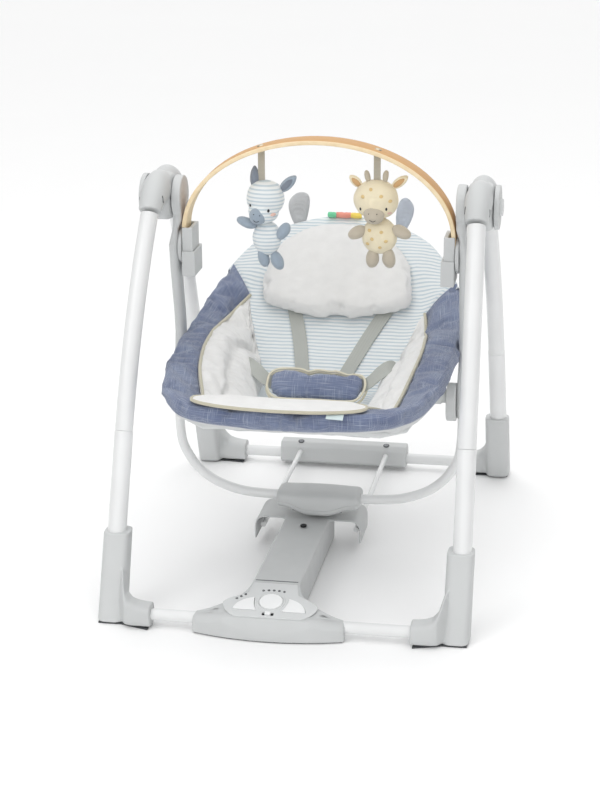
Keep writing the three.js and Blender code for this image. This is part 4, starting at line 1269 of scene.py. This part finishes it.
def crotch_pad():
    """Chambray pad of the harness between two cords of cream piping."""
    tilt = math.radians(40)
    place = Matrix.Translation((0, -0.034, 0.287)) @ Matrix.Rotation(tilt, 4, "X")
    outline = [(-0.080, 0.000), (-0.078, 0.016), (-0.066, 0.026), (-0.042, 0.0285), (-0.026, 0.0275),
               (-0.014, 0.0235), (0.000, 0.027), (0.020, 0.0255), (0.031, 0.0265), (0.050, 0.021),
               (0.060, 0.0225),
               (0.074, 0.020), (0.080, 0.008), (0.079, -0.008), (0.070, -0.024), (0.052, -0.029),
               (0.000, -0.028),
               (-0.052, -0.029), (-0.070, -0.024), (-0.079, -0.010)]
    pad = cushion("crotch_pad_soft", outline, place @ Matrix.Translation((0, 0, 0.009)), 0.010, 0.007,
                  "blue",
                  "seat", "blue_fabric", 0.42, 9, 96)
    inflate(pad, 0.004, 3.0, 0.005)
    out = place.to_3x3() @ Vector((0, 0, 1))
    rim = [place @ (p * 0.97 + Vector((0, 0, 0.010))) for p in closed_curve(outline, 200)]
    stitched(pad, rim, 0.0022, 0.0024, 0.9, 0.009)
    for x, lean in ((-0.014, 0.004), (0.050, -0.003), (0.022, 0.002)):
        dart = [place @ Vector((x + lean * k / 10, 0.026 - 0.0017 * k, 0.018)) for k in range(11)]
        stitched(pad, dart, 0.0020, 0.0035, 0.1, 0.01, out)
    weave_from(pad, Vector((1, 0, 0)), place.to_3x3() @ Vector((0, 1, 0)))
    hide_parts("crotch_pad")
    for name, height, grow in (("upper", 0.0130, 0.0012), ("lower", 0.0035, 0.0030)):
        outline_cord(f"crotch_pad_piping_{name}", outline, place, height, grow, 0.0021, "cream",
                     "blue_fabric")


def on_seat(t, f, lift=0.0038):
    return seat_point(t % 1, f) + seat_normal(t % 1, f) * lift


def strap_along(name, path, across):
    return ribbon(name, path, [Vector(across)] * len(path), STRAP_WIDTH, 0.0016, "strap", "seat",
                  "blue_fabric")


def harness():
    """Shoulder straps flat on the backrest and the two waist straps that loop out of the pad's ends."""
    for name, marks in (("left", ((-0.430, 0.66), (-0.4275, 0.56), (-0.426, 0.46), (-0.422, 0.38),
                                  (-0.412, 0.30),
                                  (-0.395, 0.22), (-0.34, 0.15))),
                        ("right", ((0.411, 0.66), (0.414, 0.54), (0.417, 0.44), (0.419, 0.36),
                                   (0.420, 0.28),
                                   (0.415, 0.20), (0.38, 0.13)))):
        path = smooth_path([on_seat(t, f) for t, f in marks], 46)
        strap = strap_along(f"shoulder_strap_{name}", path, (1, 0, 0))
    for name, sign in SIDES:
        tall = 1.0 if sign < 0 else 1.25
        path = smooth_path([(sign * x, y, 0.292 + (z - 0.292) * tall) for x, y, z in
                            ((0.072, -0.032, 0.292), (0.088, -0.030, 0.300), (0.104, -0.022, 0.311),
                             (0.118, -0.010, 0.316), (0.125, 0.002, 0.311), (0.122, 0.010, 0.296),
                             (0.114, 0.012, 0.280), (0.106, 0.010, 0.266))], 40)
        strap = strap_along(f"waist_strap_{name}", path, (0, 0.77, 0.64))


def back_trims():
    """Two ears and three ribbon loops sewn behind the top of the backrest."""
    for name, outline, material in (
            ("ear_left", ((-0.117, 0.507), (-0.110, 0.520), (-0.098, 0.527), (-0.084, 0.525),
                          (-0.079, 0.510),
                          (-0.084, 0.480), (-0.094, 0.462), (-0.106, 0.470), (-0.115, 0.490)), "ear_grey"),
            ("ear_right", ((0.107, 0.505), (0.102, 0.517), (0.092, 0.524), (0.082, 0.518), (0.076, 0.500),
                           (0.076, 0.476), (0.084, 0.462), (0.094, 0.468), (0.104, 0.488)), "ear_blue")):
        place = plane((0.010, 0.248, 0.017), (1, 0, 0), (0, 0.12, 1))
        ear = cushion(name, [(x, z - 0.004) for x, z in outline], place, 0.005, 0.005, material, "seat",
                      "blue_fabric", 0.5, 8, 60)
        inner = [(mix(x, sum(a for a, _ in outline) / 9, 0.3), mix(z, sum(b for _, b in outline) / 9, 0.3))
                 for x, z in outline]
        stitched(ear, [place @ (p + Vector((0, -0.004, -0.005))) for p in closed_curve(inner, 60)], 0.0012,
                 0.002,
                 0.6, 0.006)
    for name, start, end in (("green", -0.0345, -0.0215), ("coral", -0.0205, 0.0055), ("yellow", 0.0065,
                                                                                       0.0245)):
        path = [Vector((x, 0.302 + 0.001 * math.sin(x * 300), 0.500)) for x in steps(start, end, 0.002)]
        loop = tube(f"ribbon_loop_{name}", path,
                    lambda t: 0.0056 * (1 - 0.12 * abs(math.sin(t * 9))) if 0 < t < 1 else 0.0048, name,
                    "seat",
                    "blue_fabric", 16)


front_flap()
head_pillow()
crotch_pad()
harness()
back_trims()


# ---------------------------------------------------------------- toy bar
BAR_Y, BAR_HALF, BAR_RISE, BAR_SPRING, BAR_END = -0.005, 0.221, 0.152, 0.545, 0.511
BAR_WIDTH, BAR_THICKNESS = 0.042, 0.007
RIBBON_TOP = 0.6775


def bar_frames(count):
    """Points along the band's middle with its outward direction."""
    found = [(Vector((BAR_HALF, BAR_Y, z)), Vector((1, 0, 0))) for z in (BAR_END, mix(BAR_END, BAR_SPRING,
                                                                                      0.5))]
    for i in range(count + 1):
        a = math.pi * i / count
        out = Vector((BAR_RISE * math.cos(a), 0, BAR_HALF * math.sin(a))).normalized()
        found.append((Vector((BAR_HALF * math.cos(a), BAR_Y, BAR_SPRING + BAR_RISE * math.sin(a))), out))
    found += [(Vector((-BAR_HALF, BAR_Y, z)), Vector((-1, 0, 0))) for z in (mix(BAR_END, BAR_SPRING, 0.5),
                                                                            BAR_END)]
    return found


def toy_band():
    edge = 0.0014
    w, t = BAR_WIDTH / 2, BAR_THICKNESS / 2
    section = [(-w + edge, t), (0, t), (w - edge, t), (w - edge * 0.3, t - edge * 0.3), (w, t - edge),
               (w, -t + edge),
               (w - edge * 0.3, -t + edge * 0.3), (w - edge, -t), (0, -t), (-w + edge, -t),
               (-w + edge * 0.3, -t + edge * 0.3), (-w, -t + edge), (-w, t - edge), (-w + edge * 0.3,
                                                                                     t - edge * 0.3)]
    rings = [[point + Vector((0, y, 0)) + out * h for y, h in section] for point, out in bar_frames(110)]
    count = len(section)
    band = piece("toy_band", *loft(rings), ["wood", "ply"], "toy_bar", "beech", 50,
                 face_material=lambda face: 0 if face.index % count in (0, 1) else 1)
    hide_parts("toy_bar_band")
    for name, sign in SIDES:
        a = math.acos(0.0950 / BAR_HALF)
        out = Vector((sign * BAR_RISE * math.cos(a), 0, BAR_HALF * math.sin(a))).normalized()
        top = Vector((sign * 0.0950, BAR_Y, BAR_SPRING + BAR_RISE * math.sin(a))) + out * BAR_THICKNESS / 2
        disc(f"rivet_{name}", top, out, [(0.00001, 0.0022), (0.0026, 0.0019), (0.0050, 0.0010),
                                         (0.0058, 0.0),
                                         (0.0058, -0.001), (0.00001, -0.001)], "rivet", "toy_bar",
             "grey_plastic", 28)


# ---------------------------------------------------------------- toys
def seeded(obj, size, depth, seed):
    """Gentle lumps of stuffing."""
    for vertex in obj.data.vertices:
        vertex.co += vertex.normal * (noise.noise(vertex.co * size + Vector((seed, 0, 0))) * depth)


TOY_SLOTS = {"donkey": "blue_toy_fabric", "giraffe": "cream_toy_fabric"}


def toy_part(toy, name, centre, radii, material, tilt=0.0):
    """One stuffed piece of a toy."""
    part = blob(f"{toy}_{name}", Vector(centre), radii, material, toy, TOY_SLOTS[toy], tilt)
    seeded(part, 60, 0.0012, radii[0] * 1000)
    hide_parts(f"{toy}_toy")
    return part


def toy_ear(toy, name, base, tip, width, material, inside):
    """Leaf-shaped ear with a lining in front."""
    depth = 0.004
    base, tip = Vector(base), Vector(tip)
    up = tip - base
    length = up.length
    shape = [(0.0, 0.0), (0.32, 0.10), (0.50, 0.38), (0.44, 0.70), (0.22, 0.92), (0.0, 1.0), (-0.22, 0.92),
             (-0.44, 0.70), (-0.50, 0.38), (-0.32, 0.10)]
    place = plane(base, up.cross(Vector((0, 1, 0))), up)
    ear = cushion(f"{toy}_ear_{name}", [(a * width, b * length) for a, b in shape], place, depth, depth,
                  material,
                  toy, TOY_SLOTS[toy], 0.5, 6, 40)
    front = 1 if place.to_3x3().col[2].y < 0 else -1
    lining = cushion(f"{toy}_ear_lining_{name}", [(a * width * 0.66, 0.1 * length + b * length * 0.74)
                                                  for a, b in shape],
                     place @ Matrix.Translation((0, 0, front * depth * 0.75)), 0.0016, 0.0016, inside, toy,
                     TOY_SLOTS[toy], 0.5, 4, 32)
    for part in (ear, lining):
        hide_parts(f"{toy}_toy")


def stitch(toy, name, points):
    path = smooth_path(points, 14)
    made = tube(f"{toy}_{name}", path, 0.0004, "thread", toy, TOY_SLOTS[toy], 8)
    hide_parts(f"{toy}_toy")


def patch(toy, name, surface, x, z, rx, rz, material, proud):
    """Embroidered spot lying on a blob given by its centre and radii."""
    centre, radii = surface
    rings = []
    for share, lift in ((0.02, 1.6), (0.5, 1.5), (0.85, 1.0), (1.0, -1.0)):
        ring = []
        for c, s in circle(20):
            px, pz = x + rx * share * c, z + rz * share * s
            u = ((px - centre[0]) / radii[0]) ** 2 + ((pz - centre[2]) / radii[2]) ** 2
            y = centre[1] - radii[1] * math.sqrt(max(0.02, 1 - u))
            ring.append(Vector((px, y - proud * lift, pz)))
        rings.append(ring)
    made = piece(f"{toy}_{name}", *loft(rings), material, toy, TOY_SLOTS[toy], 60)
    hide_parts(f"{toy}_toy")


def toy_ribbon(toy, x, low):
    path = smooth_path([(x, BAR_Y, RIBBON_TOP), (x, BAR_Y - 0.0005, mix(RIBBON_TOP, low, 0.5)),
                        (x, BAR_Y, low)], 12)
    strap = ribbon(f"{toy}_ribbon", path, [Vector((1, 0, 0))] * 12, 0.011, 0.0022, "ribbon", toy,
                   TOY_SLOTS[toy])
    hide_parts(f"{toy}_toy")


def donkey():
    y = BAR_Y
    head = ((-0.0885, y, 0.6000), (0.0315, 0.0245, 0.0300))
    jaw = ((-0.0905, y - 0.005, 0.5800), (0.0250, 0.0205, 0.0215))
    muzzle = ((-0.0975, y - 0.0165, 0.5745), (0.0150, 0.0120, 0.0150))
    body = ((-0.0870, y, 0.5330), (0.0235, 0.0185, 0.0285))
    toy_part("donkey", "head", *head, "toy_stripe", tilt=0.12)
    toy_part("donkey", "jaw", *jaw, "toy_stripe")
    toy_part("donkey", "muzzle", *muzzle, "toy_blue", tilt=0.15)
    toy_part("donkey", "body", *body, "toy_stripe")
    toy_part("donkey", "arm_left", (-0.1190, y - 0.006, 0.5590), (0.0085, 0.0085, 0.0175), "toy_blue",
             tilt=-1.25)
    toy_part("donkey", "arm_right", (-0.0580, y - 0.007, 0.5470), (0.0095, 0.0090, 0.0160), "toy_blue",
             tilt=0.55)
    toy_part("donkey", "leg_left", (-0.0920, y - 0.004, 0.5000), (0.0090, 0.0090, 0.0155), "toy_blue",
             tilt=-0.30)
    toy_part("donkey", "leg_right", (-0.0690, y - 0.004, 0.4965), (0.0100, 0.0095, 0.0165), "toy_blue",
             tilt=-0.40)
    toy_ear("donkey", "left", (-0.1065, y, 0.6150), (-0.1055, y, 0.6530), 0.0150, "toy_slate", "toy_slate")
    toy_ear("donkey", "right", (-0.0640, y, 0.6120), (-0.0370, y - 0.004, 0.6390), 0.0170, "toy_blue",
            "toy_slate")
    patch("donkey", "eye_left", head, -0.1110, 0.5900, 0.0018, 0.0026, "thread", 0.0010)
    patch("donkey", "eye_right", jaw, -0.0795, 0.5840, 0.0019, 0.0027, "thread", 0.0010)
    patch("donkey", "blush", jaw, -0.0725, 0.5770, 0.0040, 0.0030, "blush", 0.0022)
    for name, x, z in (("left", -0.1030, 0.5780), ("right", -0.0930, 0.5765)):
        patch("donkey", f"nostril_{name}", muzzle, x, z, 0.0009, 0.0007, "thread", 0.0009)
    mouth = [(x, muzzle[0][1] - 0.0118 + 30 * (x + 0.099) ** 2, z) for x, z in
             ((-0.1035, 0.5680), (-0.0990, 0.5655), (-0.0945, 0.5672))]
    stitch("donkey", "mouth", mouth)
    toy_ribbon("donkey", -0.0945, 0.6280)


def giraffe():
    y = BAR_Y
    head = ((0.0930, y, 0.6040), (0.0365, 0.0265, 0.0325))
    muzzle = ((0.0924, y - 0.0190, 0.5825), (0.0168, 0.0120, 0.0145))
    body = ((0.0990, y, 0.5440), (0.0285, 0.0200, 0.0300))
    toy_part("giraffe", "head", *head, "toy_cream")
    toy_part("giraffe", "muzzle", *muzzle, "toy_taupe")
    toy_part("giraffe", "body", *body, "toy_cream")
    toy_part("giraffe", "arm_left", (0.0635, y - 0.006, 0.5500), (0.0100, 0.0090, 0.0165), "toy_taupe",
             tilt=1.05)
    toy_part("giraffe", "arm_right", (0.1350, y - 0.006, 0.5530), (0.0100, 0.0090, 0.0165), "toy_taupe",
             tilt=-1.15)
    toy_part("giraffe", "leg_left", (0.0880, y - 0.004, 0.5070), (0.0108, 0.0100, 0.0165), "toy_taupe",
             tilt=0.12)
    toy_part("giraffe", "leg_right", (0.1150, y - 0.004, 0.5080), (0.0108, 0.0100, 0.0160), "toy_taupe",
             tilt=-0.16)
    for name, base, tip in (("left", (0.0690, 0.6240), (0.0500, 0.6420)), ("right", (0.1190, 0.6240),
                                                                          (0.1440, 0.6440))):
        toy_ear("giraffe", name, (base[0], y, base[1]), (tip[0], y, tip[1]), 0.0150, "toy_cream", "toy_tan")
    for name, x, tilt in (("left", 0.0785, -0.25), ("right", 0.1085, 0.15)):
        toy_part("giraffe", f"horn_{name}", (x, y, 0.6420), (0.0052, 0.0050, 0.0100), "toy_taupe",
                 tilt=tilt)
    for name, x, z in (("left", 0.0700, 0.5915), ("right", 0.1125, 0.5930)):
        patch("giraffe", f"eye_{name}", head, x, z, 0.0018, 0.0030, "thread", 0.0010)
    patch("giraffe", "blush", head, 0.1170, 0.5850, 0.0038, 0.0026, "blush", 0.0014)
    for name, x in (("left", 0.0850), ("right", 0.0985)):
        patch("giraffe", f"nostril_{name}", muzzle, x, 0.5865, 0.0009, 0.0008, "thread", 0.0009)
    mouth = [(x, muzzle[0][1] - 0.0112 + 30 * (x - 0.0918) ** 2, z) for x, z in
             ((0.0862, 0.5765), (0.0918, 0.5738), (0.0974, 0.5765))]
    stitch("giraffe", "mouth", mouth)
    for k, (x, z, where) in enumerate(((0.0871, 0.6246, head), (0.0741, 0.6125, head), (0.1044, 0.6143,
                                                                                        head),
                                       (0.1185, 0.6060, head), (0.0842, 0.5560, body), (0.1043, 0.5543,
                                                                                        body),
                                       (0.0890, 0.5423, body), (0.1117, 0.5392, body), (0.0810, 0.5330,
                                                                                        body),
                                       (0.1019, 0.5284, body))):
        patch("giraffe", f"spot_{k}", where, x, z, 0.0034, 0.0030, "spot", 0.0010)
    toy_ribbon("giraffe", 0.0945, 0.6330)


toy_band()
donkey()
giraffe()
